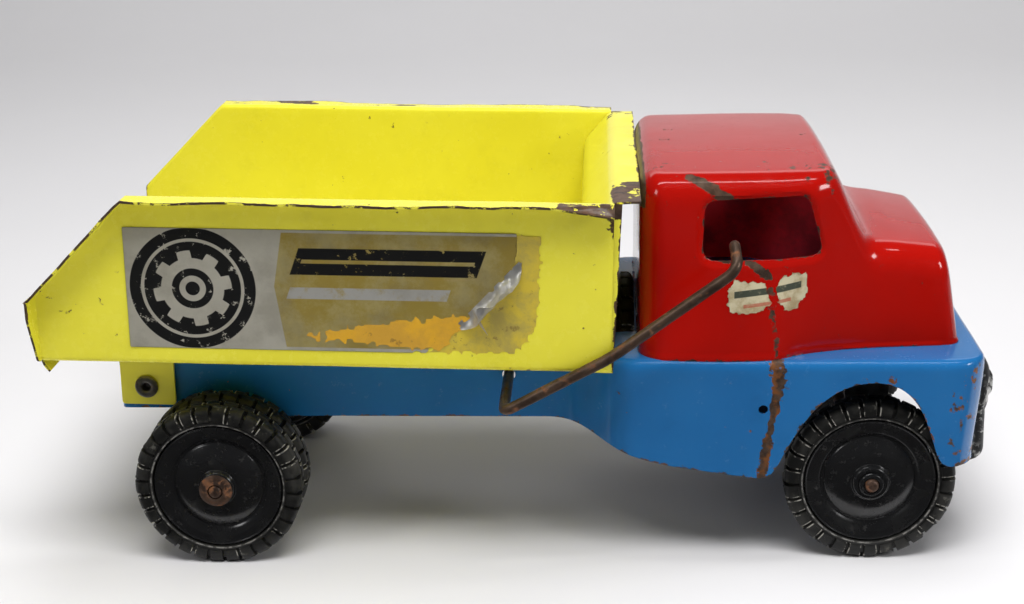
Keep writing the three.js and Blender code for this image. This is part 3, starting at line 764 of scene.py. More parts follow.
def steel(name, light, dark, rust, roughness, metallic=0.85):
    s = Shader(name)
    tone = s.mix(s.step(s.noise(120, 6, 0.65), 0.38, 0.66), light, dark)
    rusty = s.step(s.noise(170, 7, 0.7), 0.62 - rust, 0.7 - rust)
    s.set(Base_Color=s.mix(rusty, tone, s.mix(s.noise(600, 3), RUST, BARE_DARK)))
    s.set(Metallic=s.blend(rusty, metallic, 0.1))
    clean = s.blend(s.noise(350, 5), roughness - 0.08, roughness + 0.14)
    s.set(Roughness=s.blend(rusty, clean, 0.75))
    pitted = s.bump(s.noise(700, 5, 0.7), 0.35, 0.00018)
    s.set(Normal=s.bump(rusty, 0.3, 0.00015, pitted))
    return s.material


brown_steel = steel("brown_steel", (0.16, 0.105, 0.075), (0.085, 0.055, 0.04), 0.07, 0.36, 0.75)
rusty_nut = steel("rusty_push_nut", (0.17, 0.105, 0.075), (0.07, 0.045, 0.035), 0.1, 0.38, 0.7)
grey_steel = steel("grey_steel", (0.24, 0.23, 0.22), (0.1, 0.09, 0.085), 0.06, 0.38)


def black_hub():
    s = Shader("black_hub_enamel")
    scuffs = s.step(s.noise(230, 8, 0.75), 0.57, 0.66)
    dusty = s.both(s.step(s.noise(60, 5, 0.6), 0.45, 0.75), 0.5)
    base = s.mix(s.both(dusty, 0.6), (0.008, 0.008, 0.0085), (0.02, 0.02, 0.019))
    s.set(Base_Color=s.mix(s.both(scuffs, 0.45), base, (0.05, 0.048, 0.045)))
    s.set(Roughness=s.blend(s.most(scuffs, dusty), 0.22, 0.5))
    s.surface.inputs["Coat Weight"].default_value = 0.25
    s.surface.inputs["Coat Roughness"].default_value = 0.12
    s.set(Normal=s.bump(s.noise(260, 6, 0.6), 0.14, 0.0003))
    return s.material


def rubber():
    s = Shader("tyre_rubber")
    line = s.attribute("line")
    ring = s.attribute("ring")
    top = s.attribute("lug")
    broken = s.step(s.noise(330, 6, 0.7), 0.47, 0.56)
    dust = s.both(s.step(s.noise(85, 6, 0.68), 0.44, 0.68), s.blend(top, 0.28, 0.6))
    patches = s.both(s.step(s.noise(150, 5, 0.7), 0.6, 0.68), 0.55)
    base = s.mix(dust, (0.008, 0.008, 0.0075), (0.045, 0.043, 0.037))
    base = s.mix(s.both(patches, top), base, (0.15, 0.145, 0.12))
    crisp = s.step(line, 0.45, 0.9)
    base = s.mix(s.both(s.both(crisp, broken), 0.9), base, (0.4, 0.385, 0.34))
    base = s.mix(s.both(ring, s.blend(broken, 0.15, 0.9)), base, (0.27, 0.26, 0.24))
    s.set(Base_Color=base)
    s.set(Roughness=s.blend(dust, 0.48, 0.85))
    s.surface.inputs["Specular IOR Level"].default_value = 0.35
    coarse = s.bump(s.noise(240, 7, 0.7), 0.45, 0.0005)
    s.set(Normal=s.bump(s.noise(1100, 4), 0.35, 0.00018, coarse))
    return s.material


def plating():
    s = Shader("worn_plating")
    flecks = s.most(
        s.step(s.noise(95, 8, 0.78, 0.4), 0.55, 0.58),
        s.both(s.step(s.noise(300, 6, 0.75), 0.56, 0.6), s.step(s.noise(40, 3), 0.45, 0.6)))
    rust = s.step(s.noise(130, 6, 0.7), 0.66, 0.7)
    base = s.mix(flecks, (0.012, 0.012, 0.013), (0.5, 0.5, 0.48))
    s.set(Base_Color=s.mix(rust, base, BARE), Metallic=s.both(flecks, 0.9))
    s.set(Roughness=s.blend(flecks, 0.5, 0.28))
    s.set(Normal=s.bump(s.math("SUBTRACT", flecks, s.noise(500, 5)), 0.5, 0.00022))
    return s.material


hub_black = black_hub()
tyre_rubber = rubber()
worn_plating = plating()


def dress(node, material):
    """Gives a CAD node that stays visible its finish."""
    for held in cad_objects[node].material_slots:
        held.link = "DATA"
        held.material = material


cad_objects = {obj.name: obj for obj in bpy.data.objects}
for node in ("rear_axle_bracket", "front_axle_bracket", "rear_spacer_right", "rear_spacer_left",
             "front_spacer_right", "front_spacer_left", "spare_bolt"):
    dress(node, grey_steel)
dress("spare_carrier", blue_plain)
for side in ("right", "left"):
    dress(f"hinge_bracket_{side}", yellow_plain)


# ---------------------------------------------------------------- wheels
LUGS = 30
PHASES = (0.0, 0.04, 0.2, 0.24, 0.37, 0.5, 0.54, 0.7, 0.74, 0.87)
LUG_ROOT_RADIUS, TREAD_RADIUS, CROWN_RADIUS = 31.3, 36.5, 37.5
GROOVE_DEPTH, WALL_GROOVE_DEPTH, GROOVE_SINK, LUG_WEAR = 2.1, 0.6, 1.15, 0.8
LUG_HEIGHT_SPREAD, DUSTY_SHARE, WORN_SHARE = 0.35, 0.6, 0.09
# radius, depth in from the outer face, and the row of lugs the point belongs to:
# "a" outer, "b" inner, "m" the channel between them
TYRE_PROFILE = [
    (29.5, -1.5, ""), (29.7, -0.8, ""), (30.1, -0.4, ""), (30.7, -0.3, ""), (31.1, -0.45, ""),
    (31.5, -0.4, "a"), (31.9, 0.0, "a"), (34.2, 0.05, "a"), (36.0, -0.3, "a"), (37.1, -1.1, "a"),
    (37.8, -2.1, "a"), (38.0, -3.1, "a"), (38.0, -4.4, "a"), (38.0, -5.7, "a"), (37.3, -6.1, "m"),
    (37.2, -6.7, "m"), (37.3, -7.3, "m"), (38.0, -7.7, "b"), (38.0, -9.0, "b"), (38.0, -10.3, "b"),
    (37.8, -11.3, "b"), (37.1, -12.3, "b"), (36.0, -13.1, "b"), (34.2, -13.4, "b"),
    (31.9, -13.4, "b"), (31.5, -13.0, "b"), (31.1, -12.95, ""), (30.7, -13.1, ""),
    (30.1, -13.0, ""), (29.7, -12.6, ""), (29.5, -11.9, ""),
]


def in_groove(phase):
    return 0.03 < phase % 1.0 < 0.21


def make_tyre(part, x, face, side, body, seed, axis="y", z=WHEEL_RADIUS):
    """A tyre with two staggered rows of lugs, its outer wall at the distance face."""
    rng = random.Random(seed)
    spin = rng.random()
    heights = [rng.uniform(-LUG_HEIGHT_SPREAD, 0.0) for _ in range(LUGS * 2)]
    dusty = [rng.random() < DUSTY_SHARE for _ in range(LUGS * 2)]
    worn = [rng.random() < WORN_SHARE for _ in range(LUGS * 2)]
    verts, line, ring, lug_top = [], [], [], []
    for lug in range(LUGS):
        for phase in PHASES:
            turn = 2 * math.pi * (lug + phase + spin) / LUGS
            for radius, depth, kind in TYRE_PROFILE:
                r, d, on_line = radius, depth, 0.0
                on_lug = kind in ("a", "b")
                if on_lug:
                    local = phase if kind == "a" else phase + 0.5
                    row = lug * 2 + (kind == "b")
                    amount = float(smooth01((radius - LUG_ROOT_RADIUS) / 0.6))
                    on_tread = radius > TREAD_RADIUS
                    if in_groove(local):
                        r -= (GROOVE_DEPTH if on_tread else WALL_GROOVE_DEPTH) * amount
                        sink = GROOVE_SINK * amount * (radius < CROWN_RADIUS)
                        d += -sink if kind == "a" else sink
                    else:
                        wear = LUG_WEAR * amount if worn[row] and on_tread else 0
                        r += heights[row] * amount - wear
                        near = min(abs(local % 1.0 - edge) for edge in (0.24, 1.0, 0.0))
                        on_line = 1.0 if near < 0.02 and dusty[row] else 0.0
                verts.append(about_axle(x, side, z, axis, min(r, WHEEL_RADIUS), turn, face + d))
                line.append(on_line)
                ring.append(1.0 if 30.0 < radius < 30.4 else 0.0)
                lug_top.append(1.0 if on_lug and radius > 33 else 0.0)
    faces = grid_faces(LUGS * len(PHASES), len(TYRE_PROFILE), closed=True, looped=True)
    tyre = make_object(part + "_look", verts, faces, body, [tyre_rubber], [part])
    face_out(tyre)
    soften(tyre, 32)
    paint(tyre, "line", line)
    paint(tyre, "ring", ring)
    paint(tyre, "lug", lug_top)


def disc_profile(face, boss_in, boss_out):
    """The dished wheel disc: boss, back, rim flange, and the domed centre of its face."""
    inner, bore = face - TYRE_WIDTH, AXLE_RADIUS + 0.35
    dome = []
    for i in range(13):
        climb = 1 - math.sin(math.radians(90 * i / 12))
        dome.append((19.9 - 11.1 * i / 12, face - 0.3 - 3.3 * climb ** 1.25))
    return fillet([
        (bore, boss_in), (8, boss_in), (8, inner + 7), (27.2, inner + 6), (28, inner + 2),
        (29.2, inner + 2), (29.2, face - 1.7), (28.6, face - 1.0), (28.0, face - 1.5),
        (25, face - 2.0), (22.4, face - 2.9), (21.2, face - 3.9), (20.4, face - 4.2), *dome,
        (8.5, face - 0.1), (8.0, boss_out - 0.7), (7.3, boss_out), (bore, boss_out),
    ], 0.7)


# wheel, axle x, and how far out its face and the two ends of its boss stand
WHEELS = [
    ("rear_outer", 0.0, 82.2, 68.2, 84.2),
    ("rear_inner", 0.0, 67.45, 53.0, 67.8),
    ("front", WHEELBASE, 73.4, 59.0, 75.2),
]
# part, x, z, slot, material, segments, corner radius, (radius, distance) profile
FASTENERS = [
    ("rear_push_nut", 0.0, WHEEL_RADIUS, "brown_steel", rusty_nut, 64, 0.3, [
        (3.4, 84.6), (7.1, 84.6), (7.6, 84.9), (7.5, 85.4), (6.2, 86.0), (4.6, 86.3), (3.4, 86.9)]),
    ("front_push_nut", WHEELBASE, WHEEL_RADIUS, "hub_black", hub_black, 64, 0.25, [
        (3.4, 75.6), (5.3, 75.6), (5.6, 76.0), (5.0, 76.8), (3.4, 77.2)]),
    ("hinge_rivet", HINGE_X, HINGE_Z, "grey_steel", grey_steel, 48, 0.3, [
        (0, 47.4), (5, 47.4), (5, 48.3), (2.9, 48.3), (2.9, 53.0), (5.3, 53.0), (5.4, 53.6),
        (4.7, 54.3), (3.2, 54.5), (2.2, 54.1), (1.9, 53.2), (1.8, 49.6), (0, 49.2)]),
]
seed = 11
for side_name, side in (("right", -1), ("left", 1)):
    for wheel, x, face, boss_in, boss_out in WHEELS:
        body = f"{wheel}_wheel_{side_name}"
        seed += 1
        make_tyre(f"{wheel}_tyre_{side_name}", x, face, side, body, seed)
        turned(f"{wheel}_disc_{side_name}", disc_profile(face, boss_in, boss_out), x, side, body,
               hub_black)
    for part, x, z, slot, material, segments, corner, profile in FASTENERS:
        turned(f"{part}_{side_name}", fillet(profile, corner), x, side, "chassis", material,
               segments, z)

for end, x, face in (("rear", 0.0, 82.2), ("front", WHEELBASE, 73.4)):
    reach = face + 5.5
    half = [(0, reach), (1.2, reach - 0.08), (2.2, reach - 0.45), (2.8, reach - 1.0),
            (AXLE_RADIUS, reach - 1.8)]
    profile = half + [(r, -d) for r, d in reversed(half)]
    turned(f"{end}_axle", profile, x, 1, "chassis", rusty_nut, 48)

SPARE_X, SPARE_Z = 181.3, 73.4
make_tyre("spare_tyre", SPARE_X, TYRE_WIDTH / 2, 1, "chassis", 77, "x", SPARE_Z)
turned("spare_disc", disc_profile(TYRE_WIDTH / 2, -7.6, 7.6), SPARE_X, 1, "chassis",
       hub_black, 96, SPARE_Z, "x")


# ---------------------------------------------------------------- chassis pressing
def flare(x):
    return float(smoother01((x - FLARE_START_X) / (FLARE_END_X - FLARE_START_X)))


LOWER_EDGE = (
    [(-60, 63.5), (-24, 63.5), (-10, 59.5), (158, 59.5)]
    + bezier((158, 59.5), (176, 59.5), (184, 50), (211, 46.5)) + [(239, 42.2)]
    + bezier((239, 42.2), (246, 41.6), (248, 43.5), (251, 50))
    + bezier((251, 50), (259, 68), (270, 87.3), (291, 87.3), 24)
    + bezier((291, 87.3), (309, 87.3), (314, 70), (317.5, 58), 24)
    + bezier((317.5, 58), (319.5, 50), (321, 47.6), (326, 47.4)) + [(345, 47.4)]
)
EDGE_X, EDGE_Z = zip(*LOWER_EDGE)


WING_HOLE_X, WING_HOLE_Z, WING_HOLE_RADIUS = 243.1, 74.9, 2.1
# centre and half sizes of the deck slots that hold the cab's tabs
TAB_SLOTS = [(CAB_REAR_X + 0.6, 45, 1.2, 5.8), (CAB_REAR_X + 0.6, -45, 1.2, 5.8),
             (226, 74.9, 5.8, 1.2), (226, -74.9, 5.8, 1.2)]


def nose_lean(x, z):
    """How far the nose of the pressing leans forward, most at the top."""
    return (1.8 + 2.8 * smooth01((z - 47) / 50)) * smooth01((x - 314) / 14)


def chassis_ring(x):
    lift = flare(x)
    pull = end_round(NOSE_RADIUS, CHASSIS_FRONT_X - x) + end_round(2.5, x - CHASSIS_TAIL_X)
    half = CHASSIS_HALF + (WING_HALF - CHASSIS_HALF) * lift - pull
    drop = end_round(4, CHASSIS_FRONT_X - x) + end_round(1.5, x - CHASSIS_TAIL_X)
    top = CHASSIS_TOP_Z + (WING_TOP_Z - CHASSIS_TOP_Z) * lift - drop
    foot = float(np.interp(x, EDGE_X, EDGE_Z))
    return half_section(half, top, half, foot, 3.2 + 1.3 * lift, 0.0, (14, 6, 22))


def make_chassis():
    xs = [CHASSIS_TAIL_X + 2.5 * (1 - math.cos(t * math.pi / 8)) for t in range(4)]
    xs += list(np.arange(CHASSIS_TAIL_X + 3, 146, 4.0)) + list(np.arange(146, 238, 1.6))
    xs += list(np.arange(238, CHASSIS_FRONT_X - NOSE_RADIUS, 0.8))
    xs += [CHASSIS_FRONT_X - NOSE_RADIUS * (1 - math.sin(t * math.pi / 32)) for t in range(17)]
    obj = arched_shell("chassis_pressing", [mirrored(chassis_ring(x), x) for x in xs],
                       [blue_chassis, blue_inside, blue_edge])
    co = drawing(obj)
    co[:, 0] += nose_lean(co[:, 0], co[:, 2])
    redraw(obj, co)
    dent(obj, 0.22, 34, 3)
    thicken(obj, PRESSING, -1, 1, 2)
    spare_slot = rounded(SPARE_X - 8.2, SPARE_X + 7.9, -39.5, 39.5, 2)
    cut(obj, [
        prism(box_outline(24, 128, -28, 28), 85, 105, "z"),
        prism(spare_slot, 80, 105, "z"),
        prism(circle(HINGE_X, HINGE_Z, 3.4), -60, 60, "y"),
        prism(circle(LEVER_X, LEVER_Z, 3.0), -60, 60, "y"),
        prism(circle(WING_HOLE_X, WING_HOLE_Z, WING_HOLE_RADIUS), -90, 90, "y"),
        *(prism(box_outline(x - a, x + a, y - b, y + b), 90, 105, "z") for x, y, a, b in TAB_SLOTS),
    ])
    soften(obj, 35)
    co = drawing(obj)
    foot = np.interp(co[:, 0], EDGE_X, EDGE_Z)
    stations = np.arange(-60, 345, 1.0)
    slope = np.gradient(np.interp(stations, EDGE_X, EDGE_Z))
    steep = np.interp(co[:, 0], stations, np.abs(slope))
    gap = (co[:, 2] - foot) / np.sqrt(1 + steep ** 2)
    hole = np.hypot(co[:, 0] - WING_HOLE_X, co[:, 2] - WING_HOLE_Z) - WING_HOLE_RADIUS
    paint(obj, "edge", np.minimum(np.maximum(gap, 0), np.maximum(hole, 0.8)))


# ---------------------------------------------------------------- cab
CAB_HALF_BASE = [
    (CAB_REAR_X, 75.5), (246, 75.5), (261, 68), (275, 63.5), (290, 60.5), (CAB_FRONT_X, 56.5),
]
CAB_HALF_TOP = [
    (CAB_REAR_X, 67.5), (262, 67.5), (274, 62), (290, 56.5), (305, 54.5), (CAB_FRONT_X, 50.5),
]
CAB_TOP = [
    (CAB_REAR_X, 176.2), (268, 176.6), (272, 176), (276, 170.5), (285, 151.5), (289, 145),
    (294, 142.2), (305, 140.8), (CAB_FRONT_X, 137.6),
]


def quadratic(a, b, c, steps=8):
    return [
        tuple((1 - t) ** 2 * p + 2 * (1 - t) * t * q + t * t * r for p, q, r in zip(a, b, c))
        for t in (i / steps for i in range(1, steps + 1))]


SIDE_WINDOW = (
    [(222, 140.2), (261.5, 140.8)] + quadratic((261.5, 140.8), (268.5, 141), (267.2, 146.5))
    + [(262.3, 163.5)] + quadratic((262.3, 163.5), (260.8, 168.4), (256, 168.2))
    + [(222, 166.6)] + quadratic((222, 166.6), (217.4, 166.2), (216.9, 161.5))
    + [(216.2, 147)] + quadratic((216.2, 147), (216.2, 140.2), (222, 140.2))[:-1]
)
WINDSCREEN = rounded(-49, 49, 151.5, 169.5, 5)


def cab_measures(x):
    rear, front = x - CAB_REAR_X, CAB_FRONT_X - x
    pull = end_round(12, rear) + end_round(6, front)
    return (
        along(CAB_HALF_TOP, x) - pull,
        along(CAB_TOP, x) - end_round(8, rear) - end_round(6, front),
        along(CAB_HALF_BASE, x) - pull,
        5.0 * float(smooth01((x - 296) / (CAB_FRONT_X - 296))),
    )


def window_gaps(co):
    """Distances from the side window's outline and the windscreen's, 99 where neither is near."""
    side = outline_distance(co[:, [0, 2]], SIDE_WINDOW)
    side[np.abs(co[:, 1]) < 50] = 99
    screen = outline_distance(co[:, [1, 2]], WINDSCREEN)
    screen[(co[:, 0] < 266) | (co[:, 0] > 300)] = 99
    return side, screen


def cab_ring(x):
    half_top, top, half_base, lean = cab_measures(x)
    flank = half_section(half_top, top, half_base, CAB_BASE_Z, 12.5, 2.2, (30, 14, 50))
    return mirrored(flank, x, lambda z: lean * (top - z) / (top - CAB_BASE_Z))


def make_cab():
    xs = [CAB_REAR_X + 12 * (1 - math.cos(t * math.pi / 32)) for t in range(17)]
    xs += list(np.arange(CAB_REAR_X + 13, 266, 1.3)) + list(np.arange(266, 298, 0.8))
    xs += list(np.arange(298, CAB_FRONT_X - 6.5, 1.5))
    xs += [CAB_FRONT_X - 6 * (1 - math.sin(t * math.pi / 24)) for t in range(13)]
    obj = arched_shell("cab_shell", [cab_ring(x) for x in xs],
                       [red_cab, red_inside_with_painted_light, red_edge])
    co = drawing(obj)
    side_gap, screen_gap = window_gaps(co)
    roll = 1.5 * (1 - smooth01(side_gap / 2.1))
    co[:, 1] -= np.sign(co[:, 1]) * roll
    raised = 0.12 * np.exp(-((side_gap - 3.4) / 1.5) ** 2)
    co[:, 1] += np.sign(co[:, 1]) * raised
    roll = 1.5 * (1 - smooth01(screen_gap / 2.4))
    co[:, 0] -= roll
    co[:, 2] -= roll * 0.45
    bead = 0.55 * np.exp(-((co[:, 2] - CAB_BASE_Z - 0.9) / 0.9) ** 2)
    ahead = np.where(co[:, 0] > CAB_FRONT_X - 3, 1.0, np.where(co[:, 0] < CAB_REAR_X + 3, -1.0, 0))
    aside = np.where(ahead != 0, 0, np.sign(co[:, 1]))
    co[:, 0] += ahead * bead
    co[:, 1] += aside * bead
    redraw(obj, co)
    dent(obj, 0.2, 38, 8)
    thicken(obj, PRESSING, -1, 1, 2)
    cut(obj, [prism(SIDE_WINDOW, -100, 100, "y"), prism(WINDSCREEN, 268, 310, "x")])
    soften(obj, 38)
    co = drawing(obj)
    window = np.maximum(np.minimum(*window_gaps(co)), 0)
    paint(obj, "edge", np.minimum(window, np.maximum(co[:, 2] - CAB_BASE_Z, 0)))


def cab_side(x, z):
    """How far out the cab's side stands."""
    half_top, top, half_base, _ = cab_measures(x)
    return half_top + (half_base - half_top) * (top - z) / (top - CAB_BASE_Z)


# ---------------------------------------------------------------- tray
def rim_height(x):
    rise = (x - TRAY_REAR_X) / (RIM_REAR_X - TRAY_REAR_X)
    return REAR_RIM_Z + (RIM_Z - REAR_RIM_Z) * min(rise, 1.0)


def tray_section(x, floor):
    """Half the folded sheet's middle line, from the flange's free edge in to the floor's centre."""
    rim = rim_height(x) - SHEET / 2
    wall = TRAY_HALF - SHEET / 2
    low = FLOOR_Z + SHEET / 2
    fold, corner = 1.5, 2.2
    points = [(wall + FLANGE + 0.5 - (FLANGE + 0.5 - fold) * i / 8, rim) for i in range(8)]
    points += [(wall + fold - fold * math.sin(t), rim - fold + fold * math.cos(t))
               for t in (math.radians(90 * i / 5) for i in range(6))]
    high, foot = rim - fold, low + corner
    points += [(wall, high + (foot - high) * i / 26) for i in range(1, 27)]
    points += [(wall - corner + corner * math.cos(t), low + corner - corner * math.sin(t))
               for t in (math.radians(90 * i / 5) for i in range(1, 6))]
    if floor:
        points += [((wall - corner) * (1 - i / 24), low) for i in range(1, 25)]
    return points


def tray_end(section, x, side):
    """The cheek turned outward at a side's rear edge."""
    rows, tall = [], REAR_RIM_Z - 8 - FLOOR_Z
    for y, z in section:
        high = smooth01((z - FLOOR_Z) / tall)
        width = min(3 + 7.5 * (z - FLOOR_Z) / tall, 10.5)
        rows.append([(x - 0.6 * (i / 6) * high, side * (y + width * i / 6), z) for i in range(7)])
    return rows


def tray_lip(x, side):
    """Half the lip bent down from the floor's rear edge."""
    half, low = TRAY_HALF - 2.7, FLOOR_Z + SHEET / 2
    return [[(x + 3 * t * t, side * half * (1 - j / 24), low - 6 * t) for j in range(25)]
            for t in (i / 5 for i in range(6))]


def tray_pan_rows():
    xs = [TRAY_REAR_X + SHEET / 2 + (RIM_REAR_X - TRAY_REAR_X) * i / 16 for i in range(17)]
    floor_end = FRONT_WALL_X - SHEET - 0.3
    front = np.linspace(floor_end, TRAY_FRONT_X, 8)
    xs += list(np.linspace(RIM_REAR_X + 2, floor_end, 70))

    def rows(stations, side, floor):
        return [[(x, side * y, z) for y, z in tray_section(x, floor)] for x in stations]

    patches = []
    for side in (-1, 1):
        patches += [patch(rows(xs, side, True)), patch(rows(front, side, False)),
                    patch(tray_end(tray_section(xs[0], False)[8:], xs[0], side)),
                    patch(tray_lip(xs[0], side))]
    return join_patches(patches)


def folded_sheet(part, patches, materials):
    """A sheet piece of the tray, welded from patches."""
    verts, faces = patches
    obj = make_object(part + "_look", verts, faces, "tray", materials, [part])
    weld(obj)
    return obj


def finish_sheet(obj, co, depth, size, seed):
    """Moves the drawn sheet, dents it and gives it its thickness and rounded edges."""
    redraw(obj, co)
    dent(obj, depth, size, seed)
    thicken(obj, SHEET, 0, 0, 2)
    round_edges(obj, 0.22)
    soften(obj, 40)


def tilt_with_tray(obj):
    obj.data.transform(TRAY_TURN)
    obj.data.update()


def crumple(co, edge_gap, seed, depth):
    """Small dents along a flange's free edge."""
    shift = Vector((seed, 2.0 * seed, 0.5 * seed))
    reach = np.clip(1 - edge_gap / 11, 0, 1)
    for i, point in enumerate(co):
        if reach[i] > 0:
            slow = noise.noise(Vector(point) / 21 + shift)
            quick = noise.noise(Vector(point) / 6.5 - shift)
            point[2] += depth * reach[i] * (slow + 0.35 * quick)
    return co


def make_tray_pan():
    obj = folded_sheet("tray_pan", tray_pan_rows(), [yellow_pan, yellow_pan, yellow_edge])
    co = drawing(obj)
    gap = TRAY_HALF + FLANGE - np.abs(co[:, 1])
    gap[co[:, 2] < 120] = 99
    co = crumple(co, gap, 4.0, 0.9)
    fold_at, fold_to = np.array((149.0, -101.5)), np.array((176.0, -93.0))
    fold = (fold_to - fold_at) / np.linalg.norm(fold_to - fold_at)
    across = (co[:, :2] - fold_at) @ np.array((fold[1], -fold[0]))
    beyond = np.maximum(across, 0) * (co[:, 2] > 170)
    co[:, 2] -= 0.62 * beyond
    co[:, 1] += 0.3 * beyond
    bow = np.sin(np.pi * np.clip((co[:, 0] + 60) / 220, 0, 1)) * smooth01((co[:, 2] - 105) / 60)
    wall = np.abs(np.abs(co[:, 1]) - (TRAY_HALF - 0.5)) < 0.3
    co[:, 1] -= np.where(wall, np.sign(co[:, 1]) * 0.25 * bow, 0)
    finish_sheet(obj, co, 0.18, 45, 6)
    co = drawing(obj)
    flange = np.where(co[:, 2] > 120, TRAY_HALF + FLANGE - np.abs(co[:, 1]), 99)
    rear = np.abs(co[:, 0] - TRAY_REAR_X) + 0.3
    front = np.where(co[:, 2] > FLOOR_Z + 4, TRAY_FRONT_X - co[:, 0], 99)
    paint(obj, "edge", np.maximum(np.minimum(np.minimum(flange, rear), front), 0))
    tilt_with_tray(obj)


def wall_profile():
    """The front wall's middle line, bottom to top, with rounded bends."""
    corners = [(FRONT_WALL_X - 0.5, FLOOR_Z), (FRONT_WALL_X - 0.5, WALL_BEND_Z - 0.3),
               (TRAY_FRONT_X - 0.3, RIM_Z - 0.5), (FRONT_FLANGE_X, RIM_Z - 0.5)]
    points = [corners[0]]
    for before, here, after, radius in ((0, 1, 2, 5.0), (1, 2, 3, 3.0)):
        p, q, r = (np.array(corners[k]) for k in (before, here, after))
        start = q + (p - q) / np.linalg.norm(p - q) * radius
        end = q + (r - q) / np.linalg.norm(r - q) * radius
        last = np.array(points[-1])
        steps = max(int(np.linalg.norm(start - last) / 2.5), 2)
        points += [tuple(last + (start - last) * i / steps) for i in range(1, steps + 1)]
        points += quadratic(tuple(start), tuple(q), tuple(end), 6)
    last, end = np.array(points[-1]), np.array(corners[3])
    points += [tuple(last + (end - last) * i / 5) for i in range(1, 6)]
    return points


def make_front_wall():
    profile = wall_profile()
    half = TRAY_HALF - SHEET - 0.3 - SHEET / 2
    ys = np.linspace(-half, half, 61)
    patches = [patch([[(x, y, z) for y in ys] for x, z in profile])]
    for side in (-1, 1):
        rows = []
        for x, z in profile:
            edge = TRAY_FRONT_X + 1 + 2.3 * (z - FLOOR_Z) / (RIM_Z - SHEET - FLOOR_Z)
            if x < edge - 0.4 and z < RIM_Z - 0.6:
                rows.append([(x + (edge - x) * i / 6, side * half, z) for i in range(7)])
        patches.append(patch(rows))
    obj = folded_sheet("tray_front_wall", join_patches(patches),
                       [yellow_wall, yellow_wall, yellow_edge])
    co = drawing(obj)
    co = crumple(co, np.where(co[:, 2] > 150, FRONT_FLANGE_X - co[:, 0], 99), 9.0, 1.0)
    finish_sheet(obj, co, 0.15, 40, 12)
    co = drawing(obj)
    flange = FRONT_FLANGE_X - co[:, 0]
    cheek_x = TRAY_FRONT_X + 1 + 2.3 * (co[:, 2] - FLOOR_Z) / (RIM_Z - FLOOR_Z)
    on_cheek = (np.abs(co[:, 1]) > half - 1) & (co[:, 2] < RIM_Z - 3)
    cheek = np.where(on_cheek, np.abs(co[:, 0] - cheek_x), 99)
    paint(obj, "edge", np.maximum(np.minimum(flange, cheek), 0))
    tilt_with_tray(obj)


# ---------------------------------------------------------------- lever, grille
def rounded_route(points, radius):
    """The route through the points with every bend rounded."""
    route = [Vector(points[0])]
    for before, here, after in zip(points, points[1:], points[2:]):
        p, q, r = Vector(before), Vector(here), Vector(after)
        start = q + (p - q).normalized() * radius
        end = q + (r - q).normalized() * radius
        for i in range(9):
            t = i / 8
            route.append(start.lerp(q, t).lerp(q.lerp(end, t), t))
    route.append(Vector(points[-1]))
    return route


def sweep(part, route, radius, body, material):
    """A round wire along a route of drawing points, with a domed far end."""
    sides, dome_steps = 20, 6
    dense = [route[0]]
    for a, b in zip(route, route[1:]):
        steps = max(int((b - a).length / 4), 1)
        dense += [a.lerp(b, i / steps) for i in range(1, steps + 1)]
    rings, side = [], None
    for i, point in enumerate(dense):
        ahead = dense[min(i + 1, len(dense) - 1)] - dense[max(i - 1, 0)]
        tangent = ahead.normalized()
        if side is None:
            side = tangent.orthogonal().normalized()
        else:
            side = (side - tangent * side.dot(tangent)).normalized()
        rings.append((point, tangent, side, 1.0))
    point, tangent, side, _ = rings.pop()
    rings.append((point - tangent * radius, tangent, side, 1.0))
    for i in range(1, dome_steps):
        t = math.radians(90 * i / dome_steps)
        rings.append((point - tangent * radius * (1 - math.sin(t)), tangent, side, math.cos(t)))
    verts = []
    for point, tangent, side, share in rings:
        other = tangent.cross(side)
        for k in range(sides):
            t = 2 * math.pi * k / sides
            spoke = side * math.cos(t) + other * math.sin(t)
            verts.append(place(*(point + spoke * radius * share)))
    faces = capped_faces(len(rings), sides, closed=True)
    obj = make_object(part + "_look", verts, faces, body, [material], [part])
    face_out(obj)
    soften(obj, 50)
    return obj


ROD_RADIUS, CRANK_LENGTH, CRANK_HALF, HANDLE_Y = 2.4, 100, 22, -94.0


def make_lever():
    """Cross-shaft, crank under the tray and handle, bent from one wire."""
    rest = math.radians(-6)
    tip_x = LEVER_X - CRANK_LENGTH * math.cos(rest)
    tip_z = LEVER_Z + CRANK_LENGTH * math.sin(rest)
    route = rounded_route([
        (LEVER_X, 57, LEVER_Z), (LEVER_X, CRANK_HALF, LEVER_Z), (tip_x, CRANK_HALF, tip_z),
        (tip_x, -CRANK_HALF, tip_z), (LEVER_X, -CRANK_HALF, LEVER_Z), (LEVER_X, HANDLE_Y, LEVER_Z),
        (LEVER_X + 46, HANDLE_Y, 105), (LEVER_X + 99, HANDLE_Y, 144.2),
        (LEVER_X + 97.9, HANDLE_Y + 12.6, 152.4)], 6)
    rod = sweep("lever_rod", route, ROD_RADIUS, "lever", brown_steel)
    dent(rod, 0.1, 6, 21)
    nut = fillet([(2.7, 52), (5.1, 52), (5.5, 52.4), (4.6, 53.1), (2.7, 53.6)], 0.25)
    turned("lever_push_nut", nut, LEVER_X, 1, "lever", brown_steel, 48, LEVER_Z)


GRILLE_HALF, GRILLE_LOW, GRILLE_HIGH = 58, 42, 91.5
SLATS_LOW, SLATS_HIGH, SLATS_HALF, SLAT_PITCH = 66, 88, 44, 4.4
LAMP_Y, LAMP_Z = 50, 77


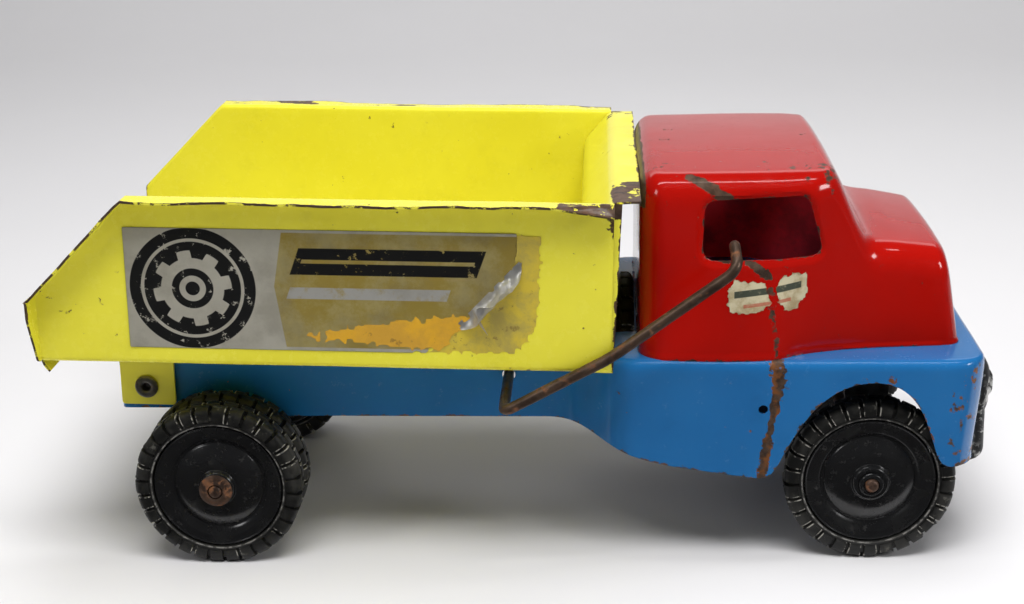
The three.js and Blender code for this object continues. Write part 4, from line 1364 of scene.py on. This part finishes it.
def grille_relief(px, y, pz, back):
    """How far the pressed slats and lamp bosses move the grille's face."""
    if px <= back + 3:
        return 0.0, 0.0
    slats = 0.0
    if SLATS_LOW < pz < SLATS_HIGH:
        fade = (smooth01((SLATS_HALF - abs(y)) / 2) * smooth01((pz - SLATS_LOW) / 2)
                * smooth01((SLATS_HIGH - pz) / 2))
        wave = math.cos(2 * math.pi * (pz - SLATS_LOW) / SLAT_PITCH)
        slats = 1.1 * fade * (0.5 + 0.5 * wave)
    lamp = math.hypot(abs(y) - LAMP_Y, pz - LAMP_Z)
    bulge = 1.2 * smooth01((6.2 - lamp) / 1.6) - 0.7 * math.exp(-((lamp - 6.6) / 0.8) ** 2)
    return slats, bulge


def make_grille():
    x = CHASSIS_FRONT_X + 1.9
    front = quadratic((x + 4, GRILLE_LOW), (x + 7.6, 43), (x + 7.6, 47)) + [(x + 7.2, 59)]
    front += quadratic((x + 7.2, 59), (x + 7.3, 62.5), (x + 7.0, 65))
    front += quadratic((x + 7.0, 65), (x + 9, 71), (x + 8.7, 79))
    front += quadratic((x + 8.7, 79), (x + 8, 88), (x + 3, GRILLE_HIGH))
    dense = [(x + 1, GRILLE_LOW), (x + 4, GRILLE_LOW)]
    for a, b in zip(front, front[1:]):
        steps = max(int(math.dist(a, b) / 0.8), 1)
        a, run = np.array(a), np.array(b) - np.array(a)
        dense += [tuple(a + run * i / steps) for i in range(1, steps + 1)]
    dense.append((x + 1, GRILLE_HIGH))
    ys = np.linspace(-GRILLE_HALF, GRILLE_HALF, 181)
    rows = []
    for y in ys:
        corner = end_round(7, GRILLE_HALF - abs(y))
        row = []
        for px, pz in dense:
            slats, bulge = grille_relief(px, y, pz, x)
            row.append((max(px - slats - corner * 0.6 + bulge * 0.8, x + 0.4), y, pz))
        rows.append(row)
    verts, faces = patch(rows)
    columns, count = len(dense), len(dense) * len(ys)
    verts += [place(x, y, z) for y in ys for z in (GRILLE_LOW, GRILLE_HIGH)]
    last = len(ys) - 1
    for i in range(last):
        a, b = i * columns, (i + 1) * columns
        low_a, low_b = count + 2 * i, count + 2 * i + 2
        faces += [(a, b, low_b, low_a), (a + columns - 1, low_a + 1, low_b + 1, b + columns - 1),
                  (low_a, low_b, low_b + 1, low_a + 1)]
    for i in (0, last):
        side = tuple(range(i * columns, (i + 1) * columns))
        faces.append(side + (count + 2 * i + 1, count + 2 * i))
    obj = make_object("grille_bumper_look", verts, faces, "chassis",
                      [worn_plating], ["grille_bumper"])
    face_out(obj)
    soften(obj, 42)


def make_wing_stiffener(side_name, side):
    """The folded stiffener behind the wing's round hole."""
    outline = rounded(234, 252, 64, 92, 2.5)
    inner, outer = sorted((side * (WING_HALF - 6.2), side * (WING_HALF - 5.2)))
    count = len(outline)
    verts = [place(x, y, z) for y in (inner, outer) for x, z in outline]
    faces = [tuple(range(count)), tuple(range(2 * count - 1, count - 1, -1))]
    faces += [(i, (i + 1) % count, (i + 1) % count + count, i + count) for i in range(count)]
    obj = make_object(f"wing_stiffener_{side_name}", verts, faces, "chassis",
                      [blue_inside])
    face_out(obj)
    round_edges(obj, 0.3)
    soften(obj, 40)


make_chassis()
make_wing_stiffener("right", -1)
make_wing_stiffener("left", 1)
make_cab()
make_tray_pan()
make_front_wall()
make_lever()
make_grille()


# ---------------------------------------------------------------- label and stickers
def film(name, outline, lay, body, material, step, ragged, seed, lift, torn=None):
    """A thin film cut to a ragged outline; lay(u, v) gives its place on the surface."""
    points = np.array(outline)
    low, high = points.min(axis=0) - 2, points.max(axis=0) + 2
    us, vs = np.arange(low[0], high[0], step), np.arange(low[1], high[1], step)
    flat = np.array([(u, v) for u in us for v in vs])
    gap = outline_distance(flat, points)
    for i, (u, v) in enumerate(flat):
        share = 1.0 if torn is None else torn(u, v)
        gap[i] += ragged * share * (noise.noise(Vector((u * 0.35, v * 0.35, seed)))
                                    + 0.5 * noise.noise(Vector((u, v, seed + 5))))
    keep = (gap < 0).reshape(len(us), len(vs))
    verts = [place(*lay(u, v)) for u, v in flat]
    cells = grid_faces(len(us), len(vs))
    faces = [(a, d, c, b) for a, b, c, d in cells if keep.flat[[a, b, c, d]].all()]
    obj = make_object(name, verts, faces, body, [material])
    for layer, values in (("u", flat[:, 0]), ("v", flat[:, 1]), ("edge", np.maximum(-gap, 0))):
        paint(obj, layer, values)

    def change(bm):
        loose = [v for v in bm.verts if not v.link_faces]
        bmesh.ops.delete(bm, geom=loose, context="VERTS")
        rim = [v for v in bm.verts if any(len(e.link_faces) == 1 for e in v.link_edges)]
        for _ in range(3):
            bmesh.ops.smooth_vert(
                bm, verts=rim, factor=0.5, use_axis_x=True, use_axis_y=True, use_axis_z=True)
        bmesh.ops.recalc_face_normals(bm, faces=bm.faces)
        if sum(f.normal.y for f in bm.faces) > 0:
            bmesh.ops.reverse_faces(bm, faces=bm.faces)
    edit(obj, change)
    thicken(obj, lift, 1)
    soften(obj, 50)


def on_tray_side(u, v):
    """A place on the tray's right side, bowed, waved and turned with the tray."""
    bow = math.sin(math.pi * min(max((u + 60) / 220, 0), 1)) * float(smooth01((v - 105) / 60))
    wave = 0.12 * noise.noise(Vector((u / 9, v / 9, 3.0)))
    out = TRAY_HALF + 0.12 - 0.25 * bow + wave + 0.1
    x, z = u - HINGE_X, v - HINGE_Z
    c, s = math.cos(TRAY_REST_ANGLE), math.sin(TRAY_REST_ANGLE)
    return HINGE_X + c * x + s * z, -out, HINGE_Z - s * x + c * z


LABEL_LEFT, LABEL_RIGHT, LABEL_LOW, LABEL_HIGH = -31.7, 136.5, 108.6, 163.8
EMBLEM_U, EMBLEM_V, EMBLEM_RADIUS = -2.3, 136.4, 27.1
PANEL_LEFT = 32.5
BAR_U, BAR_V = (42.0, 121.0), (143.5, 155.0)
GROOVE_U, GROOVE_V = (45.0, 118.0), (148.6, 150.0)
THIN_BAR_U, THIN_BAR_V = (44.0, 112.0), (132.8, 137.6)
RING, HUB_RING, COG_BORE, COG_RADIUS, TOOTH, TEETH = (20.9, 22.1), (3.2, 5.6), 8.8, 15.2, 1.7, 8.0


def foil_finish(s, base, dull):
    """Aged metal foil: fine rolling lines, creases and dull tarnish."""
    creases = s.noise(75, 7, 0.7, 0.6)
    tarnish = s.step(s.noise(50, 6, 0.65), 0.42, 0.68)
    s.set(Base_Color=s.mix(s.both(tarnish, 0.5), base, dull))
    s.set(Metallic=s.blend(tarnish, 0.75, 0.45), Roughness=s.blend(tarnish, 0.36, 0.52))
    s.set(Normal=s.bump(creases, 0.5, 0.0004, s.bump(s.noise(600, 3), 0.1, 0.0001)))


def label_material():
    s = Shader("foil_label")
    u, v, edge = s.attribute("u"), s.attribute("v"), s.attribute("edge")
    du, dv = s.math("SUBTRACT", u, EMBLEM_U), s.math("SUBTRACT", v, EMBLEM_V)
    radius = s.math("SQRT", s.math("ADD", s.both(du, du), s.both(dv, dv)))
    turn = s.math("ARCTAN2", dv, du)
    silver = s.mix(s.noise(90, 6, 0.7), (0.6, 0.57, 0.47), (0.74, 0.71, 0.6))
    gold_tone = s.step(s.noise(48, 7, 0.72), 0.4, 0.62)
    gold = s.mix(gold_tone, (0.5, 0.37, 0.08), (0.6, 0.5, 0.2))
    off_point = s.math("ABSOLUTE", s.math("SUBTRACT", v, 138.0))
    point = s.math("ADD", PANEL_LEFT, s.both(off_point, 0.16))
    panel = s.both(s.step(u, point, s.math("ADD", point, 0.4)), s.step(v, 110.6, 111.0))
    panel = s.both(panel, s.step(v, 161.6, 162.0, 1, 0))
    base = s.mix(panel, silver, gold)
    slant = s.math("SUBTRACT", u, s.both(s.math("SUBTRACT", v, 150.0), 0.35))
    bar = s.both(s.between(slant, *BAR_U, 0.35), s.between(v, *BAR_V, 0.3))
    groove = s.both(s.between(slant, *GROOVE_U, 0.3), s.between(v, *GROOVE_V, 0.25))
    bar = s.math("SUBTRACT", bar, groove, clamp=True)
    thin = s.both(s.between(slant, *THIN_BAR_U, 0.3), s.between(v, *THIN_BAR_V, 0.3))
    rubbed = s.step(s.noise(210, 7, 0.72), 0.3, 0.36)
    dark = s.both(bar, rubbed)
    pale = s.both(thin, s.step(s.noise(160, 7, 0.72), 0.28, 0.5, 0.25, 0.9))
    base = s.mix(pale, base, (0.6, 0.6, 0.58))
    disc = s.step(radius, EMBLEM_RADIUS - 0.15, EMBLEM_RADIUS + 0.15, 1, 0)
    teeth = s.math("SINE", s.both(turn, TEETH))
    cog = s.math("ADD", COG_RADIUS, s.both(s.step(teeth, -0.25, 0.25, -1, 1), TOOTH))
    cog_face = s.both(s.step(radius, s.math("SUBTRACT", cog, 0.2), s.math("ADD", cog, 0.2), 1, 0),
                      s.step(radius, COG_BORE, COG_BORE + 0.3))
    hub = s.between(radius, *HUB_RING, 0.2)
    ring = s.between(radius, *RING, 0.2)
    ink = s.math("SUBTRACT", disc, s.most(cog_face, hub, ring), clamp=True)
    rim = s.step(edge, 0.3, 0.9, 1, 0)
    inked = s.both(s.most(ink, dark), s.step(s.noise(260, 7, 0.72), 0.36, 0.41))
    foil_finish(s, base, (0.24, 0.22, 0.19))
    worn = s.mix(s.both(s.step(s.noise(50, 6, 0.65), 0.42, 0.68), 0.35), base, (0.3, 0.27, 0.2))
    colour = s.mix(inked, worn, (0.009, 0.009, 0.009))
    colour = s.mix(s.both(rim, 0.75), colour, (0.06, 0.045, 0.03))
    s.set(Base_Color=colour, Metallic=s.blend(inked, 0.55, 0.0))
    s.set(Roughness=s.blend(inked, 0.4, 0.34))
    return s.material


def glue_material(name, low, high):
    s = Shader(name)
    tone = s.step(s.noise(62, 7, 0.7, 0.4), 0.38, 0.62)
    base = s.mix(tone, low, high)
    spots = s.step(s.noise(210, 6, 0.72), 0.6, 0.66)
    s.set(Base_Color=s.mix(s.both(spots, 0.6), base, (0.16, 0.09, 0.015)))
    s.set(Roughness=s.blend(tone, 0.35, 0.6))
    s.set(Normal=s.bump(s.noise(150, 7, 0.7), 0.6, 0.0004))
    return s.material


def foil_back():
    s = Shader("foil_back")
    foil_finish(s, (0.62, 0.61, 0.58), (0.36, 0.31, 0.2))
    return s.material


def paper_material():
    s = Shader("torn_sticker")
    u, v, edge = s.attribute("u"), s.attribute("v"), s.attribute("edge")
    base = s.mix(s.step(s.noise(90, 6, 0.68), 0.4, 0.65), (0.56, 0.5, 0.33), (0.34, 0.26, 0.13))
    tilt = s.math("SUBTRACT", v, s.both(s.math("SUBTRACT", u, 244.0), 0.12))
    stripe = s.both(s.between(tilt, 126.3, 129.0, 0.25), s.between(u, 230.0, 258.5, 0.5))
    stripe = s.both(stripe, s.step(s.noise(330, 6, 0.72), 0.25, 0.45, 0.4, 0.95))
    red = s.both(s.between(tilt, 121.4, 122.8, 0.2), s.between(u, 234.0, 254.0, 0.5))
    red = s.both(red, s.step(s.noise(300, 6, 0.72), 0.3, 0.5, 0.35, 0.9))
    base = s.mix(stripe, base, (0.03, 0.045, 0.03))
    base = s.mix(s.both(red, 0.8), base, (0.4, 0.05, 0.02))
    s.set(Base_Color=s.mix(s.step(edge, 0.2, 0.9, 0.7, 0), base, (0.16, 0.1, 0.045)))
    s.set(Roughness=s.blend(s.noise(150, 5), 0.4, 0.65))
    s.set(Normal=s.bump(s.noise(240, 7, 0.7), 0.5, 0.0004))
    return s.material


residue = glue_material("glue_residue", (0.62, 0.47, 0.03), (0.42, 0.33, 0.06))
orange = glue_material("orange_glue", (0.68, 0.36, 0.008), (0.56, 0.3, 0.02))
LABEL_OUTLINE = [
    (LABEL_LEFT, LABEL_LOW), (98, LABEL_LOW), (101, 112), (104, 119), (113, 121.5), (120, 126.5),
    (124, 133), (129, 138), (134.6, 142), (136.2, 148), (LABEL_RIGHT, LABEL_HIGH),
    (LABEL_LEFT, LABEL_HIGH)]
RESIDUE_OUTLINE = [
    (96, 108.6), (136, 108.9), (142, 116), (144.6, 124), (146.2, 136), (146.4, 162.4),
    (134, 163.4), (131, 150), (122, 136), (108, 120)]
GLUE_OUTLINE = [
    (42, 116.5), (58, 119.5), (80, 123.2), (99, 126), (113, 127.4), (122, 130), (118, 122),
    (110, 117), (104, 111), (97, 109.5), (72, 112), (54, 113)]


def above_tray_side(lift):
    def lay(u, v):
        x, y, z = on_tray_side(u, v)
        return x, y - lift, z
    return lay


film("side_label", LABEL_OUTLINE, on_tray_side, "tray", label_material(),
     0.8, 1.6, 2.0, 0.16, lambda u, v: 1.0 if u > 92 and v < 160 else 0.06)
film("label_residue", RESIDUE_OUTLINE, above_tray_side(-0.08), "tray", residue,
     0.9, 1.8, 7.0, 0.05)
film("label_glue", GLUE_OUTLINE, above_tray_side(0.1), "tray", orange,
     0.8, 3.2, 9.0, 0.1)


def make_flap():
    """The torn corner of the foil, curled back on itself."""
    def ripple(a, b, c):
        return noise.noise(Vector((a, b, c)))

    base, tip = np.array((112.0, 120.5)), np.array((138.5, 149.5))
    run = (tip - base) / np.linalg.norm(tip - base)
    across = np.array((run[1], -run[0]))
    rows = []
    for i in range(37):
        t = i / 36
        root = base + (tip - base) * t
        reach = 12.5 * math.sin(math.pi * min(t * 0.9 + 0.07, 1)) + 3.2 * ripple(t * 7, 2.0, 5.0)
        curl = 5.2 + 1.6 * ripple(t * 4, 7.0, 1.0)
        row = []
        for j in range(13):
            arc = max(reach, 0.8) * j / 12
            turn = arc / curl
            flat = across * (curl * math.sin(turn) - 2.5) + run * 2.2 * ripple(t * 6, j / 5, 3.0)
            x, y, z = on_tray_side(*(root + flat))
            row.append((x, y - 0.25 - curl * (1 - math.cos(turn)), z))
        rows.append(row)
    verts, faces = patch(rows)
    obj = make_object("label_flap", verts, faces, "tray", [foil_back()])
    dent(obj, 1.3, 4.5, 31)
    thicken(obj, 0.12, 0)
    soften(obj, 60)


make_flap()


def on_door(u, v):
    return u, -(cab_side(u, v) + 0.1), v


torn_paper = paper_material()
STICKER_HALVES = [
    ("door_sticker_rear", 12.0, [
        (226.6, 118.8), (226.2, 128), (229.5, 132.6), (243.2, 131.6), (244.2, 126.4),
        (246.4, 122.0), (241.6, 118.6), (233, 116.8)]),
    ("door_sticker_front", 15.0, [
        (248.0, 131.6), (251, 134.6), (260.6, 134.8), (262.4, 130), (261.4, 122.6),
        (256, 117.4), (249.6, 119.4), (247.4, 125)]),
]
for name, seed, outline in STICKER_HALVES:
    film(name, outline, on_door, "chassis", torn_paper, 0.5, 1.5, seed, 0.15)


# ---------------------------------------------------------------- stage, lights, camera
def pale_floor():
    s = Shader("pale_floor")
    s.set(Base_Color=s.mix(s.noise(3.0, 2), (0.75, 0.74, 0.75), (0.79, 0.78, 0.79)), Roughness=0.62)
    s.set(Normal=s.bump(s.noise(500, 3), 0.03, 0.0002))
    return s.material


def make_stage():
    """A flat floor that curves up into a wall far behind the truck."""
    half_width, floor_front, wall_start, curve, columns, steps = 3.5, -2.2, 1.2, 0.9, 15, 41
    rows = []
    for i in range(steps):
        t = i / (steps - 1)
        if t < 0.5:
            y, z = floor_front + 2 * t * (wall_start - floor_front), 0.0
        else:
            turn = min((t - 0.5) / 0.3, 1) * math.pi / 2
            y = wall_start + curve * math.sin(turn)
            z = curve * (1 - math.cos(turn)) + max(t - 0.8, 0) * 9
        rows += [(x, y, z) for x in np.linspace(-half_width, half_width, columns)]
    obj = new_object("stage", rows, grid_faces(steps, columns), [pale_floor()])
    soften(obj, 60)


def make_black_flag():
    """A black card in front of the stage, which only darkens what the enamel reflects."""
    s = Shader("black_flag")
    s.set(Base_Color=(0.01, 0.01, 0.01), Roughness=0.95)
    corners = [(x, y, 0.004) for x, y in box_outline(-1.6, 1.6, -1.9, -0.09)]
    obj = new_object("black_flag", corners, [(0, 1, 2, 3)], [s.material])
    obj.visible_camera = obj.visible_diffuse = obj.visible_shadow = False


def softbox(name, at, aim, size, power, glossy=True):
    data = bpy.data.lights.new(name, "AREA")
    data.shape = "RECTANGLE"
    data.size, data.size_y = size
    data.energy = power
    obj = link(name, data)
    obj.visible_glossy = glossy
    obj.location = at
    obj.rotation_euler = (Vector(aim) - Vector(at)).to_track_quat("-Z", "Y").to_euler()


make_stage()
softbox("key", (0.1, -0.62, 1.42), (0.0, 0.0, 0.05), (1.1, 0.45), 17.5, glossy=False)
softbox("strip", (0.05, -0.2, 1.5), (0.0, 0.0, 0.1), (1.5, 0.08), 5)
softbox("left_lamp", (-1.2, -0.9, 1.0), (0.1, 0.0, 0.12), (0.4, 0.4), 3)
softbox("right_lamp", (1.3, -0.6, 0.8), (0.1, 0.0, 0.12), (0.35, 0.35), 5)
softbox("overhead", (0.05, 0.15, 1.5), (0.0, 0.05, 0.0), (0.8, 0.6), 8, glossy=False)
softbox("far_floor", (0.0, 1.8, 1.6), (0.0, 1.8, 0.0), (3.0, 0.8), 11)
make_black_flag()

world = bpy.data.worlds.new("studio")
world.use_nodes = True
background = world.node_tree.nodes["Background"]
background.inputs["Color"].default_value = (0.86, 0.88, 0.92, 1)
background.inputs["Strength"].default_value = 0.07
bpy.context.scene.world = world
bpy.context.scene.view_settings.view_transform = "Standard"

FOCAL, FRAME_WIDTH, FRAME_HEIGHT = 1601.07, 1024, 604
PRINCIPAL = (511.29, 273.06)
SENSOR = 36
YAW, PITCH, ROLL = (math.radians(a) for a in (3.32, 17.91, 1.19))
level = math.cos(PITCH)
forward = Vector((-math.sin(YAW) * level, math.cos(YAW) * level, -math.sin(PITCH)))
right = Vector((math.cos(YAW), math.sin(YAW), 0))
up = right.cross(forward)
camera_right = right * math.cos(ROLL) - up * math.sin(ROLL)
camera_up = up * math.cos(ROLL) + right * math.sin(ROLL)
camera_data = bpy.data.cameras.new("camera")
camera_data.sensor_width = SENSOR
camera_data.lens = FOCAL * SENSOR / FRAME_WIDTH
camera_data.shift_x = (FRAME_WIDTH / 2 - PRINCIPAL[0]) / FRAME_WIDTH
camera_data.shift_y = (PRINCIPAL[1] - FRAME_HEIGHT / 2) / FRAME_WIDTH
camera_data.clip_start = 0.01
camera = link("camera", camera_data)
view = Matrix((camera_right, camera_up, -forward)).transposed().to_4x4()
view.translation = place(172.0, -729.38, 348.63)
camera.matrix_world = view
bpy.context.scene.camera = camera
